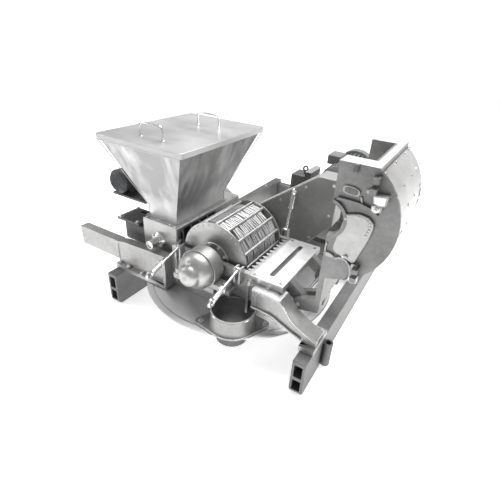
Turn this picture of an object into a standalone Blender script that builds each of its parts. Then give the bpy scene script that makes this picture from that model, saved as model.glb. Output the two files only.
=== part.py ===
"""Sugar pulverizer: a hammer mill with its cover swung open, a hopper feeder and a belt drive.

Units are metres, +Z is up.  Machine axes: X runs across the machine and is zero on the rotor
axis, Y runs along the rotor and the rails from the operator's end, Z is zero on the floor.
"""
import math

import bmesh
import bpy
from mathutils import Matrix, Vector

# Clearances
GAP = 0.0003
RUN_GAP = 0.0006
LINER_GAP = 0.010

# Frame origin, as distances in machine axes
ORIGIN_X = -0.0580
ORIGIN_Y = 1.0190

# Base rails and crossmembers
RAIL_WIDTH = 0.068
RAIL_HEIGHT = 0.210
RAIL_LENGTH = 2.170
RAIL_NOSE = 0.030
RAIL_WALL = 0.013
RAIL_WEB = 0.020
RAIL_POCKET_DEPTH = 0.120
CROSS_HEIGHT = 0.150
CROSS_WIDTH = 0.075
SOCKET_RADIUS = 0.024
SOCKET_BORE = 0.017
SOCKET_LENGTH = 0.145
SOCKET_FOOT_Z = 0.025
SOCKET_Y = 0.250

# Bin plate and dust spout
PLATE_RADIUS = 0.559
PLATE_SHEET = 0.006
PLATE_ROLL = 0.011
PLATE_CENTRE_Y = 0.463
PLATE_TOP = 0.205
PLATE_SIDE_ROOM = 0.021
PLATE_REAR_ROOM = 0.018
RAIL_CENTRE_X = PLATE_RADIUS + PLATE_SIDE_ROOM + RAIL_WIDTH / 2
CROSS_FRONT_Y = PLATE_CENTRE_Y + PLATE_RADIUS + PLATE_REAR_ROOM
CROSS_SPACING = 0.400
CROSS_MIDDLE_Y = CROSS_FRONT_Y + CROSS_SPACING
SPOUT_X = 0.213
SPOUT_Y = 0.052
SPOUT_RADIUS = 0.112
SPOUT_THROAT = 0.092
SPOUT_WALL = 0.005
SPOUT_HEIGHT = 0.105
SPOUT_FLANGE = 0.014
SPOUT_FLANGE_LENGTH = 0.375
SPOUT_FLANGE_WIDTH = 0.252
SPOUT_TURN = 30.0

# Mill housing
AXIS_Z = 0.460
PARTING_Z = 0.475
MILL_FRONT_Y = 0.140
MILL_REAR_Y = 0.610
END_WALL = 0.030
CHAMBER_RADIUS = 0.240
MILL_LEFT_WALL = 0.010
MILL_RIGHT_WALL = 0.050
FLANGE_REACH = 0.140
MILL_LEFT_X = -(CHAMBER_RADIUS + MILL_LEFT_WALL)
MILL_RIGHT_X = CHAMBER_RADIUS + MILL_RIGHT_WALL
FLANGE_RIGHT_X = MILL_RIGHT_X + FLANGE_REACH
FLANGE_THICK = 0.034
DISCHARGE_HALF_X = 0.165
SLOT_X = MILL_RIGHT_X + 0.048
SLOT_WIDTH = 0.026
SLOT_MARGIN = 0.055
SHELF_TOP = 0.372
SHELF_THICK = 0.030
SHELF_FRONT_Y = 0.054
SHELF_REAR_Y = 0.722
SHELF_MARGIN = 0.012
SHELF_RIGHT_X = 0.092
SHELF_LEDGE = 0.058
WALL_SHAFT_RADIUS = 0.050

# Cover, hinged on the right; drawn closed and then swung open
COVER_WALL = 0.032
COVER_OUTER_RADIUS = CHAMBER_RADIUS + COVER_WALL
COVER_PORT_X = -(CHAMBER_RADIUS - 0.014)
COVER_PORT_TOP = 0.616
COVER_RIM = 0.010
COVER_ARCH_RADIUS = 0.074
COVER_FLANGE_THICK = 0.026
COVER_OPEN_ANGLE = 90.0
COVER_PAD = ((-0.039, 0.078), (-0.047, 0.100), (-0.053, 0.130), (-0.048, 0.164), (-0.030, 0.186),
             (-0.010, 0.190),
             (0.040, 0.182), (0.152, 0.150), (0.160, 0.140), (0.134, 0.060), (0.124, 0.052), (0.104, 0.052))
COVER_RIDGE = ((-0.088, 0.030), (-0.088, 0.080), (-0.086, 0.120), (-0.076, 0.160), (-0.056, 0.190))
HINGE_X = FLANGE_RIGHT_X + 0.070
HINGE_Z = 0.385
HINGE_PIN_RADIUS = 0.011
HINGE_BOSS_RADIUS = 0.030
HINGE_FRONT_Y = 0.235
HINGE_REAR_Y = 0.515
HINGE_KNUCKLE = 0.040

# Feed port shared by housing, cover and trough
PORT_FRONT_Y = 0.215
PORT_REAR_Y = 0.545
PORT_LOW_Z = 0.435

# Liners and screen
LINER_THICK = 0.014
LINER_TEETH = 30
SCREEN_THICK = 0.006

# Rotor
ROTOR_FRONT_Y = 0.186
ROTOR_REAR_Y = 0.566
ROTOR_ROOM = 0.040
ROTOR_RADIUS = CHAMBER_RADIUS - ROTOR_ROOM
DISC_THICK = 0.012
HAMMER_REACH = 0.042
DRUM_RADIUS = ROTOR_RADIUS - HAMMER_REACH
ROD_RADIUS = 0.0075
ROD_COUNT = 16
HAMMER_THICK = 0.024
HAMMER_GROUPS = 6
HAMMER_HALF_WIDTH = 0.027
SHAFT_RADIUS = 0.030
SHAFT_FRONT_Y = -0.010
SHAFT_REAR_Y = 0.852

# Rotor bearings
BEARING_RADIUS = 0.104
BEARING_BACK_Y = 0.125
BEARING_SEAM_Y = 0.050
NOSE_RADIUS = 0.056
NOSE_FRONT_Y = -0.045
BEARING_FOOT_HALF_X = 0.158
SHELF_HALF_X = BEARING_FOOT_HALF_X + SHELF_MARGIN
BEARING_FOOT_HEIGHT = 0.030
REAR_BEARING_FRONT_Y = 0.625
REAR_BEARING_BACK_Y = 0.712
REAR_BEARING_RADIUS = 0.092

# Arms from the mill to the rails
ARM_FRONT_Y = 0.100
ARM_WEB = 0.034
ARM_DEPTH = 0.055
ARM_FLANGE = 0.022
ARM_FLANGE_FRONT_Y = 0.072
ARM_FLANGE_BACK_Y = 0.178
RIGHT_FLANGE_FRONT_Y = 0.088
RIGHT_ARM_CROWN = ((0.009, 1.0), (0.307, 1.0), (0.4325, 0.962), (0.525, 0.815), (0.620, 0.641),
                   (0.760, 0.502), (1.0, 0.329))
RIGHT_ARM_BELLY = ((0.776, 0.181), (0.642, 0.250), (0.4465, 0.381), (0.307, 0.467), (0.009, 0.485))
LEFT_ARM_REACH = 0.356
LEFT_ARM_END_X = -(RAIL_CENTRE_X + LEFT_ARM_REACH)
LEFT_ARM_TOP = 0.388
LEFT_ARM_BOTTOM = 0.264

# Swing bolts with eye nuts
BOLT_X = {-1: MILL_LEFT_X + 0.072, 1: MILL_RIGHT_X - 0.093}
BOLT_PIVOT_Z = 0.500
BOLT_OUTBOARD = 0.026
BOLT_ROD_RADIUS = 0.0075
BOLT_LENGTH = 0.225
BOLT_EYE_RADIUS = 0.013
BOLT_PIN_RADIUS = 0.006
LUG_CHEEK = 0.010
LUG_SLOT = 0.018
LUG_SHOULDER = 0.005
NUT_LENGTH = 0.075
NUT_RADIUS = 0.0135
NUT_EYE_RADIUS = 0.019
NUT_EYE_WIRE = 0.0065
NUT_STAND = 0.1353
FRONT_BOLT_DROOP = 15.0
LEAN_BOLT_ANGLE = 14.0
COVER_LUG_LOW = 0.610
COVER_LUG_TOP = 0.634
COVER_LUG_HALF_X = 0.030

# Feeder
SCREW_X = MILL_LEFT_X - 0.125
SCREW_Z = 0.450
SCREW_RADIUS = 0.084
SCREW_PITCH = 0.080
SCREW_SHEET = 0.006
SCREW_SHAFT_RADIUS = 0.020
TROUGH_LEFT_X = SCREW_X - 0.130
TROUGH_FRONT_Y = 0.182
TROUGH_REAR_Y = 0.820
TROUGH_LOW_Z = 0.325
TROUGH_TOP_Z = 0.552
TROUGH_END = 0.016
TROUGH_BORE = 0.094
SCREW_BEARING_RADIUS = 0.046
SCREW_BEARING_LENGTH = 0.026
SCREW_NOSE_RADIUS = 0.024
SCREW_NOSE_Y = 0.092

# Hopper
NECK_LEFT_X = TROUGH_LEFT_X + 0.009
NECK_RIGHT_X = MILL_LEFT_X - 0.040
NECK_FRONT_Y = 0.235
NECK_REAR_Y = 0.690
NECK_TOP_Z = 0.612
HOPPER_LEFT_X = NECK_LEFT_X - 0.180
HOPPER_RIGHT_X = NECK_RIGHT_X + 0.162
HOPPER_FRONT_Y = 0.092
HOPPER_REAR_Y = 0.850
HOPPER_TOP_Z = 1.008
HOPPER_SHEET = 0.004
HOPPER_TRIM = 0.001
LID_OVERHANG = 0.012
LID_SKIRT = 0.026
LID_SHEET = 0.004
LID_CORNER = 0.028
HANDLE_LENGTH = 0.150
HANDLE_HEIGHT = 0.066
HANDLE_WIRE = 0.005
HANDLE_FRONT = (SCREW_X - 0.030, 0.205)
HANDLE_REAR = (SCREW_X, 0.640)

# Feeder drive
FEED_MOTOR_X = TROUGH_LEFT_X - 0.215
FEED_MOTOR_Z = 0.702
FEED_MOTOR_RADIUS = 0.068
FEED_MOTOR_FRONT_Y = 0.215
FEED_MOTOR_REAR_Y = 0.480
REDUCER_RADIUS = 0.058
REDUCER_LENGTH = 0.130
DRIVE_SHAFT_RADIUS = 0.012
GUARD_DEPTH = 0.055
BRACKET_SHEET = 0.012
GEARCASE_LEFT_X = TROUGH_LEFT_X - 0.185
GEARCASE_FRONT_Y = 0.205
GEARCASE_REAR_Y = 0.360
GEARCASE_LOW_Z = 0.345
GEARCASE_TOP_Z = 0.468
TABLE_LEFT_X = GEARCASE_LEFT_X - 0.045
TABLE_THICK = 0.016

# Belt drive
BELT_GUARD_FRONT_Y = 0.732
BELT_GUARD_DEPTH = 0.138
BELT_GUARD_SHEET = 0.004
BELT_GUARD_ARC = 0.112
BELT_GUARD_TOP_Z = 0.830
BELT_GUARD_RIGHT_X = 0.438
BELT_GUARD_LOW_X = 0.250
BELT_GUARD_TOP_X = 0.312
MOTOR_X = 0.330
MOTOR_Z = 0.705
ROTOR_SHEAVE_RADIUS = 0.085
MOTOR_SHEAVE_RADIUS = 0.085
SHEAVE_WIDTH = 0.082
SHEAVE_FRONT_Y = 0.762
SHEAVE_GROOVES = 2
GROOVE_DEPTH = 0.012
BELT_THICK = 0.010
BELT_WIDTH = 0.072

# Main motor
MOTOR_RADIUS = 0.116
MOTOR_COWL_RADIUS = 0.134
MOTOR_FRONT_Y = CROSS_FRONT_Y - 0.040
MOTOR_REAR_Y = MOTOR_FRONT_Y + 0.470
MOTOR_FINS = 28
MOTOR_FIN_DEPTH = 0.014
MOTOR_BELL = 0.045
MOTOR_SHAFT_RADIUS = 0.024
MOTOR_FOOT_SPREAD = 0.150
STAND_TOP_Z = 0.545
STAND_THICK = 0.024
BASE_PLATE = 0.022

EPS = 0.002
ROUND = 28
FINE = 44
LINER_SEAT = CHAMBER_RADIUS * math.cos(math.pi / FINE) - GAP


def clear_scene():
    for item in list(bpy.data.objects):
        bpy.data.objects.remove(item, do_unlink=True)
    for group in list(bpy.data.collections):
        bpy.data.collections.remove(group)


clear_scene()
PARTS = bpy.data.collections.new("sugar_pulverizer")
CUTTERS = bpy.data.collections.new("cutters")
bpy.context.scene.collection.children.link(PARTS)
bpy.context.scene.collection.children.link(CUTTERS)

ROOT = bpy.data.objects.new("machine_origin", None)
ROOT.location = (-ORIGIN_X, -ORIGIN_Y, 0.0)
PARTS.objects.link(ROOT)


def material(name, colour, roughness, metallic):
    mat = bpy.data.materials.new(name)
    mat.use_nodes = True
    shader = mat.node_tree.nodes["Principled BSDF"]
    shader.inputs["Base Color"].default_value = (*colour, 1.0)
    shader.inputs["Roughness"].default_value = roughness
    shader.inputs["Metallic"].default_value = metallic
    mat.diffuse_color = (*colour, 1.0)
    return mat


CAST = material("cast_grey", (0.42, 0.43, 0.42), 0.55, 0.6)
MACHINED = material("machined_steel", (0.78, 0.78, 0.77), 0.25, 1.0)
STAINLESS = material("brushed_stainless", (0.68, 0.69, 0.69), 0.32, 1.0)
STEEL = material("dark_steel", (0.30, 0.31, 0.32), 0.45, 0.9)
PAINT = material("motor_grey", (0.16, 0.18, 0.20), 0.5, 0.3)
RUBBER = material("belt_rubber", (0.03, 0.03, 0.03), 0.8, 0.0)


# Shape helpers; every helper draws in machine axes
def new_object(name, mesh):
    obj = bpy.data.objects.new(name, mesh)
    CUTTERS.objects.link(obj)
    obj.parent = ROOT
    obj.hide_render = True
    obj.display_type = 'WIRE'
    return obj


def from_bmesh(name, bm):
    mesh = bpy.data.meshes.new(name)
    bm.to_mesh(mesh)
    bm.free()
    return new_object(name, mesh)


def box(name, low, high):
    low = Vector(low)
    high = Vector(high)
    size = high - low
    bm = bmesh.new()
    place = Matrix.Translation((low + high) / 2) @ Matrix.Diagonal((size.x, size.y, size.z, 1.0))
    bmesh.ops.create_cube(bm, size=1.0, matrix=place)
    return from_bmesh(name, bm)


def along(direction):
    """Rotation that takes +Z to a direction."""
    return Vector((0, 0, 1)).rotation_difference(Vector(direction)).to_matrix().to_4x4()


def rod(name, start, end, radius, segments=ROUND, end_radius=None):
    start = Vector(start)
    end = Vector(end)
    bm = bmesh.new()
    place = Matrix.Translation((start + end) / 2) @ along(end - start)
    bmesh.ops.create_cone(bm, cap_ends=True, segments=segments, radius1=radius,
                          radius2=radius if end_radius is None else end_radius,
                          depth=(end - start).length, matrix=place)
    return from_bmesh(name, bm)


def baked(obj):
    """Replace an object by a mesh of its evaluated form, welded and with its scale kept."""
    graph = bpy.context.evaluated_depsgraph_get()
    mesh = bpy.data.meshes.new_from_object(obj.evaluated_get(graph))
    mesh.transform(obj.matrix_basis)
    bm = bmesh.new()
    bm.from_mesh(mesh)
    bmesh.ops.remove_doubles(bm, verts=bm.verts, dist=0.00002)
    bmesh.ops.recalc_face_normals(bm, faces=bm.faces)
    bm.to_mesh(mesh)
    bm.free()
    name = obj.name
    bpy.data.objects.remove(obj, do_unlink=True)
    return new_object(name, mesh)


def turned(name, profile, start, direction, segments=FINE):
    """Turn a profile of (radius, distance) pairs about an axis from start along direction.

    The pairs run round the section, with the outer side going from high to low distance.
    """
    mesh = bpy.data.meshes.new(name)
    verts = [(radius, 0.0, height) for radius, height in profile]
    count = len(verts)
    on_axis = profile[0][0] == 0.0 and profile[-1][0] == 0.0
    edges = [(i, i + 1) for i in range(count - 1)]
    if not on_axis:
        edges.append((count - 1, 0))
    mesh.from_pydata(verts, edges, [])
    obj = new_object(name, mesh)
    screw = obj.modifiers.new("turn", 'SCREW')
    screw.axis = 'Z'
    screw.steps = segments
    screw.render_steps = segments
    screw.use_merge_vertices = True
    screw.merge_threshold = 0.00002
    obj.matrix_basis = Matrix.Translation(start) @ along(direction)
    bpy.context.view_layer.update()
    return baked(obj)


def prism(name, outline, low, high, plane='XZ'):
    """Extrude a flat outline between two values of the axis that its plane leaves out."""
    curve = bpy.data.curves.new(name, 'CURVE')
    curve.dimensions = '2D'
    curve.fill_mode = 'BOTH'
    curve.extrude = (high - low) / 2
    spline = curve.splines.new('POLY')
    spline.points.add(len(outline) - 1)
    for point, (a, b) in zip(spline.points, outline):
        point.co = (a, b, 0.0, 1.0)
    spline.use_cyclic_u = True
    obj = new_object(name, curve)
    middle = (low + high) / 2
    if plane == 'XZ':
        obj.matrix_basis = Matrix.Translation((0, middle, 0)) @ Matrix.Rotation(math.pi / 2, 4, 'X')
    elif plane == 'YZ':
        turn = Matrix(((0, 0, 1, 0), (1, 0, 0, 0), (0, 1, 0, 0), (0, 0, 0, 1)))
        obj.matrix_basis = Matrix.Translation((middle, 0, 0)) @ turn
    else:
        obj.matrix_basis = Matrix.Translation((0, 0, middle))
    bpy.context.view_layer.update()
    return baked(obj)


def wire(name, points, radius, sides=2):
    curve = bpy.data.curves.new(name, 'CURVE')
    curve.dimensions = '3D'
    curve.bevel_depth = radius
    curve.bevel_resolution = sides
    curve.use_fill_caps = True
    spline = curve.splines.new('POLY')
    spline.points.add(len(points) - 1)
    for point, place in zip(spline.points, points):
        point.co = (*place, 1.0)
    obj = new_object(name, curve)
    bpy.context.view_layer.update()
    return baked(obj)


def arc(centre, radius, start, end, steps):
    """Points on an arc in a plane, angles in degrees."""
    points = []
    for i in range(steps + 1):
        angle = math.radians(start + (end - start) * i / steps)
        points.append((centre[0] + radius * math.cos(angle), centre[1] + radius * math.sin(angle)))
    return points


def boolean(base, tool, operation):
    step = base.modifiers.new(tool.name, 'BOOLEAN')
    step.operation = operation
    step.solver = 'EXACT'
    step.object = tool


def fuse(base, *tools):
    for tool in tools:
        boolean(base, tool, 'UNION')
    return base


def cut(base, *tools):
    for tool in tools:
        boolean(base, tool, 'DIFFERENCE')
    return base


def bevel(obj, width, segments=1, angle=40.0):
    step = obj.modifiers.new("edges", 'BEVEL')
    step.width = width
    step.segments = segments
    step.limit_method = 'ANGLE'
    step.angle_limit = math.radians(angle)
    return obj


def node(obj, name, mat, origin=(0.0, 0.0, 0.0), parent=None):
    """Name a finished piece, give it its material and put its origin at a point."""
    obj.name = name
    obj.data.name = name
    CUTTERS.objects.unlink(obj)
    PARTS.objects.link(obj)
    obj.hide_render = False
    obj.display_type = 'TEXTURED'
    origin = Vector(origin)
    obj.data.transform(Matrix.Translation(-origin))
    obj.location = origin
    obj.data.materials.clear()
    obj.data.materials.append(mat)
    obj.data.shade_smooth()
    obj.data.set_sharp_from_angle(angle=math.radians(32))
    if parent is not None:
        hang(obj, parent)
    return obj


def hang(obj, parent):
    """Parent a piece to a joint's empty and keep it where it is drawn."""
    obj.location = obj.location - parent.location
    obj.parent = parent


def pivot(name, point):
    empty = bpy.data.objects.new(name, None)
    empty.empty_display_size = 0.05
    PARTS.objects.link(empty)
    empty.parent = ROOT
    empty.location = point
    return empty


# Base
def rail_outline():
    nose = arc((RAIL_NOSE, RAIL_NOSE), RAIL_NOSE, 180, 270, 4)
    return nose + [(RAIL_LENGTH, 0.0), (RAIL_LENGTH, RAIL_HEIGHT), (0.0, RAIL_HEIGHT)]


def make_rail(name, centre_x):
    half = RAIL_WIDTH / 2
    rail = prism(name, rail_outline(), centre_x - half, centre_x + half, 'YZ')
    bevel(rail, 0.004)
    middle = RAIL_HEIGHT / 2
    spans = ((RAIL_NOSE, middle - RAIL_WEB / 2), (middle + RAIL_WEB / 2, RAIL_HEIGHT - RAIL_WALL * 1.6))
    for low, high in spans:
        cut(rail, box("pocket", (centre_x - half + RAIL_WALL, -EPS, low),
                      (centre_x + half - RAIL_WALL, RAIL_POCKET_DEPTH, high)))
    return node(rail, name, CAST, (centre_x, 0.0, 0.0))


def make_crossmember(name, front_y, back_y):
    inner = RAIL_CENTRE_X - RAIL_WIDTH / 2 - GAP
    low = (RAIL_HEIGHT - CROSS_HEIGHT) / 2
    beam = box(name, (-inner, front_y, low), (inner, back_y, low + CROSS_HEIGHT))
    bevel(beam, 0.004)
    return node(beam, name, CAST, (0.0, (front_y + back_y) / 2, RAIL_HEIGHT / 2))


def make_socket():
    centre_x = RAIL_CENTRE_X + RAIL_WIDTH / 2 + GAP + SOCKET_RADIUS * 0.86
    low = SOCKET_FOOT_Z
    high = SOCKET_FOOT_Z + SOCKET_LENGTH
    tube = rod("socket", (centre_x, SOCKET_Y, low), (centre_x, SOCKET_Y, high), SOCKET_RADIUS, 24)
    flat_x = RAIL_CENTRE_X + RAIL_WIDTH / 2 + GAP
    cut(tube, box("socket_flat", (flat_x - 0.05, SOCKET_Y - 0.05, low - EPS),
                  (flat_x, SOCKET_Y + 0.05, high + EPS)))
    bore_low = (centre_x, SOCKET_Y, low + 0.02)
    cut(tube, rod("socket_bore", bore_low, (centre_x, SOCKET_Y, high + EPS), SOCKET_BORE - 0.002, 20))
    return node(tube, "rail_socket", CAST, (centre_x, SOCKET_Y, low))


# Bin plate and spout
def make_bin_plate():
    under = PLATE_TOP - PLATE_SHEET
    roll = arc((PLATE_RADIUS - PLATE_ROLL, PLATE_TOP - PLATE_ROLL), PLATE_ROLL, 90, -180, 5)
    inner = PLATE_RADIUS - 2 * PLATE_ROLL
    profile = [(0.0, PLATE_TOP)] + roll + [(inner, under), (0.0, under)]
    plate = turned("plate", profile, (0.0, PLATE_CENTRE_Y, 0.0), (0, 0, 1), 56)
    cut(plate, box("discharge", (-DISCHARGE_HALF_X, MILL_FRONT_Y + END_WALL, under - EPS),
                   (DISCHARGE_HALF_X, MILL_REAR_Y - END_WALL, PLATE_TOP + EPS)))
    cut(plate, rod("spout_hole", (SPOUT_X, SPOUT_Y, under - EPS), (SPOUT_X, SPOUT_Y, PLATE_TOP + EPS),
                   SPOUT_THROAT - SPOUT_WALL, ROUND))
    return node(plate, "bin_plate", STAINLESS, (0.0, PLATE_CENTRE_Y, PLATE_TOP))


def spout_flange_outline(grow=0.0):
    """Rounded diamond: two small end arcs and two wide side arcs."""
    half_length = SPOUT_FLANGE_LENGTH / 2 + grow
    half_width = SPOUT_FLANGE_WIDTH / 2 + grow
    tip = 0.030 + grow
    turn = math.radians(SPOUT_TURN)
    points = arc((half_length - tip, 0.0), tip, -52, 52, 5)
    points += arc((0.0, 0.0), half_width, 60, 120, 5)
    points += arc((tip - half_length, 0.0), tip, 128, 232, 5)
    points += arc((0.0, 0.0), half_width, 240, 300, 5)
    return [(SPOUT_X + u * math.cos(turn) - v * math.sin(turn),
             SPOUT_Y + u * math.sin(turn) + v * math.cos(turn)) for u, v in points]


def make_spout():
    low = PLATE_TOP + GAP
    high = low + SPOUT_HEIGHT
    flange = prism("spout", spout_flange_outline(), low, low + SPOUT_FLANGE, 'XY')
    bevel(flange, 0.003)
    throat = SPOUT_THROAT
    wall = [(SPOUT_RADIUS - SPOUT_WALL, high), (SPOUT_RADIUS, high), (SPOUT_RADIUS, high - 0.007),
            (SPOUT_RADIUS - 0.005, high - 0.010), (throat + 0.006, low + 0.035), (throat, low + EPS),
            (throat - SPOUT_WALL, low + EPS), (throat + 0.006 - SPOUT_WALL, low + 0.035)]
    cone = turned("spout_wall", wall, (SPOUT_X, SPOUT_Y, 0.0), (0, 0, 1), ROUND)
    cut(flange, rod("spout_throat", (SPOUT_X, SPOUT_Y, low - EPS), (SPOUT_X, SPOUT_Y, low + 0.03),
                    throat - SPOUT_WALL, ROUND))
    fuse(flange, cone)
    return node(flange, "dust_spout", STAINLESS, (SPOUT_X, SPOUT_Y, low))


# Mill housing
def lug_cheeks(name, centre_x, wall_y, side, low, high):
    """Two cheeks on an end wall that hold the pin of a swing bolt."""
    inner = LUG_SLOT / 2 + GAP
    outboard = wall_y + side * (BOLT_OUTBOARD + BOLT_EYE_RADIUS)
    rooted = wall_y - side * EPS
    clear = wall_y + side * GAP
    shoulder = PARTING_Z - LUG_SHOULDER
    outline = [(outboard, low), (rooted, low), (rooted, shoulder), (clear, shoulder), (clear, high),
               (outboard, high)]
    cheeks = []
    for hand in (-1, 1):
        edges = sorted((centre_x + hand * inner, centre_x + hand * (inner + LUG_CHEEK)))
        cheeks.append(prism(name, outline, edges[0], edges[1], 'YZ'))
    return cheeks


def make_lower_housing():
    foot_z = PLATE_TOP + GAP
    top = PARTING_Z
    corner = arc((MILL_RIGHT_X - 0.06, foot_z + 0.06), 0.06, 270, 360, 4)
    outline = [(MILL_LEFT_X, foot_z)] + corner
    outline += [(MILL_RIGHT_X, top - FLANGE_THICK), (FLANGE_RIGHT_X, top - FLANGE_THICK),
                (FLANGE_RIGHT_X, top), (MILL_LEFT_X, top)]
    body = prism("housing", outline, MILL_FRONT_Y, MILL_REAR_Y)
    inner_front = MILL_FRONT_Y + END_WALL
    inner_rear = MILL_REAR_Y - END_WALL
    for name, front, rear in (("front", SHELF_FRONT_Y, MILL_FRONT_Y + EPS),
                              ("rear", MILL_REAR_Y - EPS, SHELF_REAR_Y)):
        right = SHELF_HALF_X if name == "rear" else SHELF_RIGHT_X
        fuse(body, box(name + "_shelf", (-SHELF_HALF_X, front, SHELF_TOP - SHELF_THICK),
                       (right, rear, SHELF_TOP)))
        reach = [(MILL_FRONT_Y + EPS, foot_z + 0.02), (MILL_FRONT_Y + EPS, SHELF_TOP - SHELF_THICK + EPS),
                 (SHELF_FRONT_Y + 0.02, SHELF_TOP - SHELF_THICK + EPS)]
        if name == "rear":
            reach = [(MILL_REAR_Y - EPS, foot_z + 0.02),
                     (SHELF_REAR_Y - 0.02, SHELF_TOP - SHELF_THICK + EPS),
                     (MILL_REAR_Y - EPS, SHELF_TOP - SHELF_THICK + EPS)]
        for hand in (-1, 1):
            rib_x = SHELF_HALF_X - 0.030 if hand == -1 or name == "rear" else SHELF_RIGHT_X - 0.040
            edges = sorted((hand * rib_x, hand * (rib_x + 0.022)))
            fuse(body, prism(name + "_rib", reach, edges[0], edges[1], 'YZ'))
    ledge_low = (0.0, MILL_FRONT_Y - SHELF_LEDGE, SHELF_TOP - SHELF_THICK)
    fuse(body, box("front_ledge", ledge_low, (SHELF_HALF_X, MILL_FRONT_Y + EPS, SHELF_TOP)))
    spout_top = foot_z + SPOUT_HEIGHT + 0.012
    cut(body, rod("spout_recess", (SPOUT_X, SPOUT_Y, foot_z - EPS), (SPOUT_X, SPOUT_Y, spout_top),
                  SPOUT_RADIUS + 0.004, ROUND))
    cut(body, prism("flange_recess", spout_flange_outline(0.003), foot_z - EPS,
                    foot_z + SPOUT_FLANGE + 0.003, 'XY'))
    cut(body, rod("chamber", (0, inner_front, AXIS_Z), (0, inner_rear, AXIS_Z), CHAMBER_RADIUS, FINE))
    cut(body, box("outlet", (-DISCHARGE_HALF_X, inner_front, foot_z - EPS),
                  (DISCHARGE_HALF_X, inner_rear, AXIS_Z)))
    cut(body, rod("shaft_way", (0, MILL_FRONT_Y - 0.05, AXIS_Z), (0, MILL_REAR_Y + 0.05, AXIS_Z),
                  WALL_SHAFT_RADIUS, ROUND))
    cut(body, box("feed_port", (MILL_LEFT_X - EPS, PORT_FRONT_Y, PORT_LOW_Z),
                  (MILL_LEFT_X + 0.050, PORT_REAR_Y, top + EPS)))
    half = SLOT_WIDTH / 2
    front_end = MILL_FRONT_Y + SLOT_MARGIN + half
    rear_end = MILL_REAR_Y - SLOT_MARGIN - half
    slot = arc((SLOT_X, front_end), half, 180, 360, 6) + arc((SLOT_X, rear_end), half, 0, 180, 6)
    cut(body, prism("slot", slot, top - FLANGE_THICK - EPS, top + EPS, 'XY'))
    for hand in (-1, 1):
        for wall_y, side in ((MILL_FRONT_Y, -1), (MILL_REAR_Y, 1)):
            low = BOLT_PIVOT_Z - 0.075
            fuse(body, *lug_cheeks("lug", BOLT_X[hand], wall_y, side, low, BOLT_PIVOT_Z + BOLT_EYE_RADIUS))
            pin_y = wall_y + side * BOLT_OUTBOARD
            cut(body, rod("pin_hole", (BOLT_X[hand] - 0.04, pin_y, BOLT_PIVOT_Z),
                          (BOLT_X[hand] + 0.04, pin_y, BOLT_PIVOT_Z),
                          BOLT_PIN_RADIUS + GAP, 16))
    for centre_y in (HINGE_FRONT_Y, HINGE_REAR_Y):
        fuse(body, hinge_arm("housing_knuckle", centre_y, HINGE_KNUCKLE / 2 - GAP, 0.0))
    for centre_y in (HINGE_FRONT_Y, HINGE_REAR_Y):
        cut(body, rod("hinge_bore", (HINGE_X, centre_y - 0.04, HINGE_Z), (HINGE_X, centre_y + 0.04, HINGE_Z),
                      HINGE_PIN_RADIUS + GAP, 24))
    return node(body, "lower_housing", CAST, (0.0, MILL_FRONT_Y, PARTING_Z))


def hinge_arm(name, centre_y, half_width, offset):
    """Tapered knuckle that reaches from the flange's edge to the hinge axis."""
    boss = arc((HINGE_X, HINGE_Z), HINGE_BOSS_RADIUS, -125, 40, 8)
    outline = boss + [(FLANGE_RIGHT_X - EPS, PARTING_Z - EPS + offset),
                      (FLANGE_RIGHT_X - 0.06, PARTING_Z - FLANGE_THICK + EPS)]
    return prism(name, outline, centre_y - half_width, centre_y + half_width)


def make_liner(name, start, end, teeth, front, rear, outer, mat):
    """Corrugated liner plate, a toothed arc in section."""
    outline = arc((0, AXIS_Z), outer, start, end, teeth * 2)
    back = []
    for i in range(teeth * 2 + 1):
        angle = math.radians(end + (start - end) * i / (teeth * 2))
        radius = outer - LINER_THICK + (0.005 if i % 2 else 0.0)
        back.append((radius * math.cos(angle), AXIS_Z + radius * math.sin(angle)))
    return prism(name, outline + back, front, rear)


def make_screen(front, rear):
    outer = CHAMBER_RADIUS - LINER_THICK - 0.003
    outline = arc((0, AXIS_Z), outer, 212, 328, 20) + arc((0, AXIS_Z), outer - SCREEN_THICK, 328, 212, 20)
    screen = prism("screen", outline, front, rear)
    for angle in range(234, 320, 18):
        direction = Vector((math.cos(math.radians(angle)), 0, math.sin(math.radians(angle))))
        for k in range(4):
            y = front + (rear - front) * (k + 0.5) / 4
            centre = Vector((0, y, AXIS_Z))
            hole = box("screen_slot", (-0.009, -0.028, -0.02), (0.009, 0.028, 0.02))
            hole.matrix_basis = Matrix.Translation(centre + direction * (outer - SCREEN_THICK / 2)) @ along(direction)
            cut(screen, hole)
    return screen


# Cover
def cover_outline(radius):
    """Section of the cover's outer form: round over the rotor, flat at the feed side."""
    reach = math.degrees(math.acos(COVER_PORT_X / radius)) if radius > -COVER_PORT_X else 180
    low = PARTING_Z + GAP
    start = math.degrees(math.asin((low - AXIS_Z) / radius))
    points = arc((0, AXIS_Z), radius, start, reach, 26)
    return points + [(COVER_PORT_X, low)]


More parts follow.
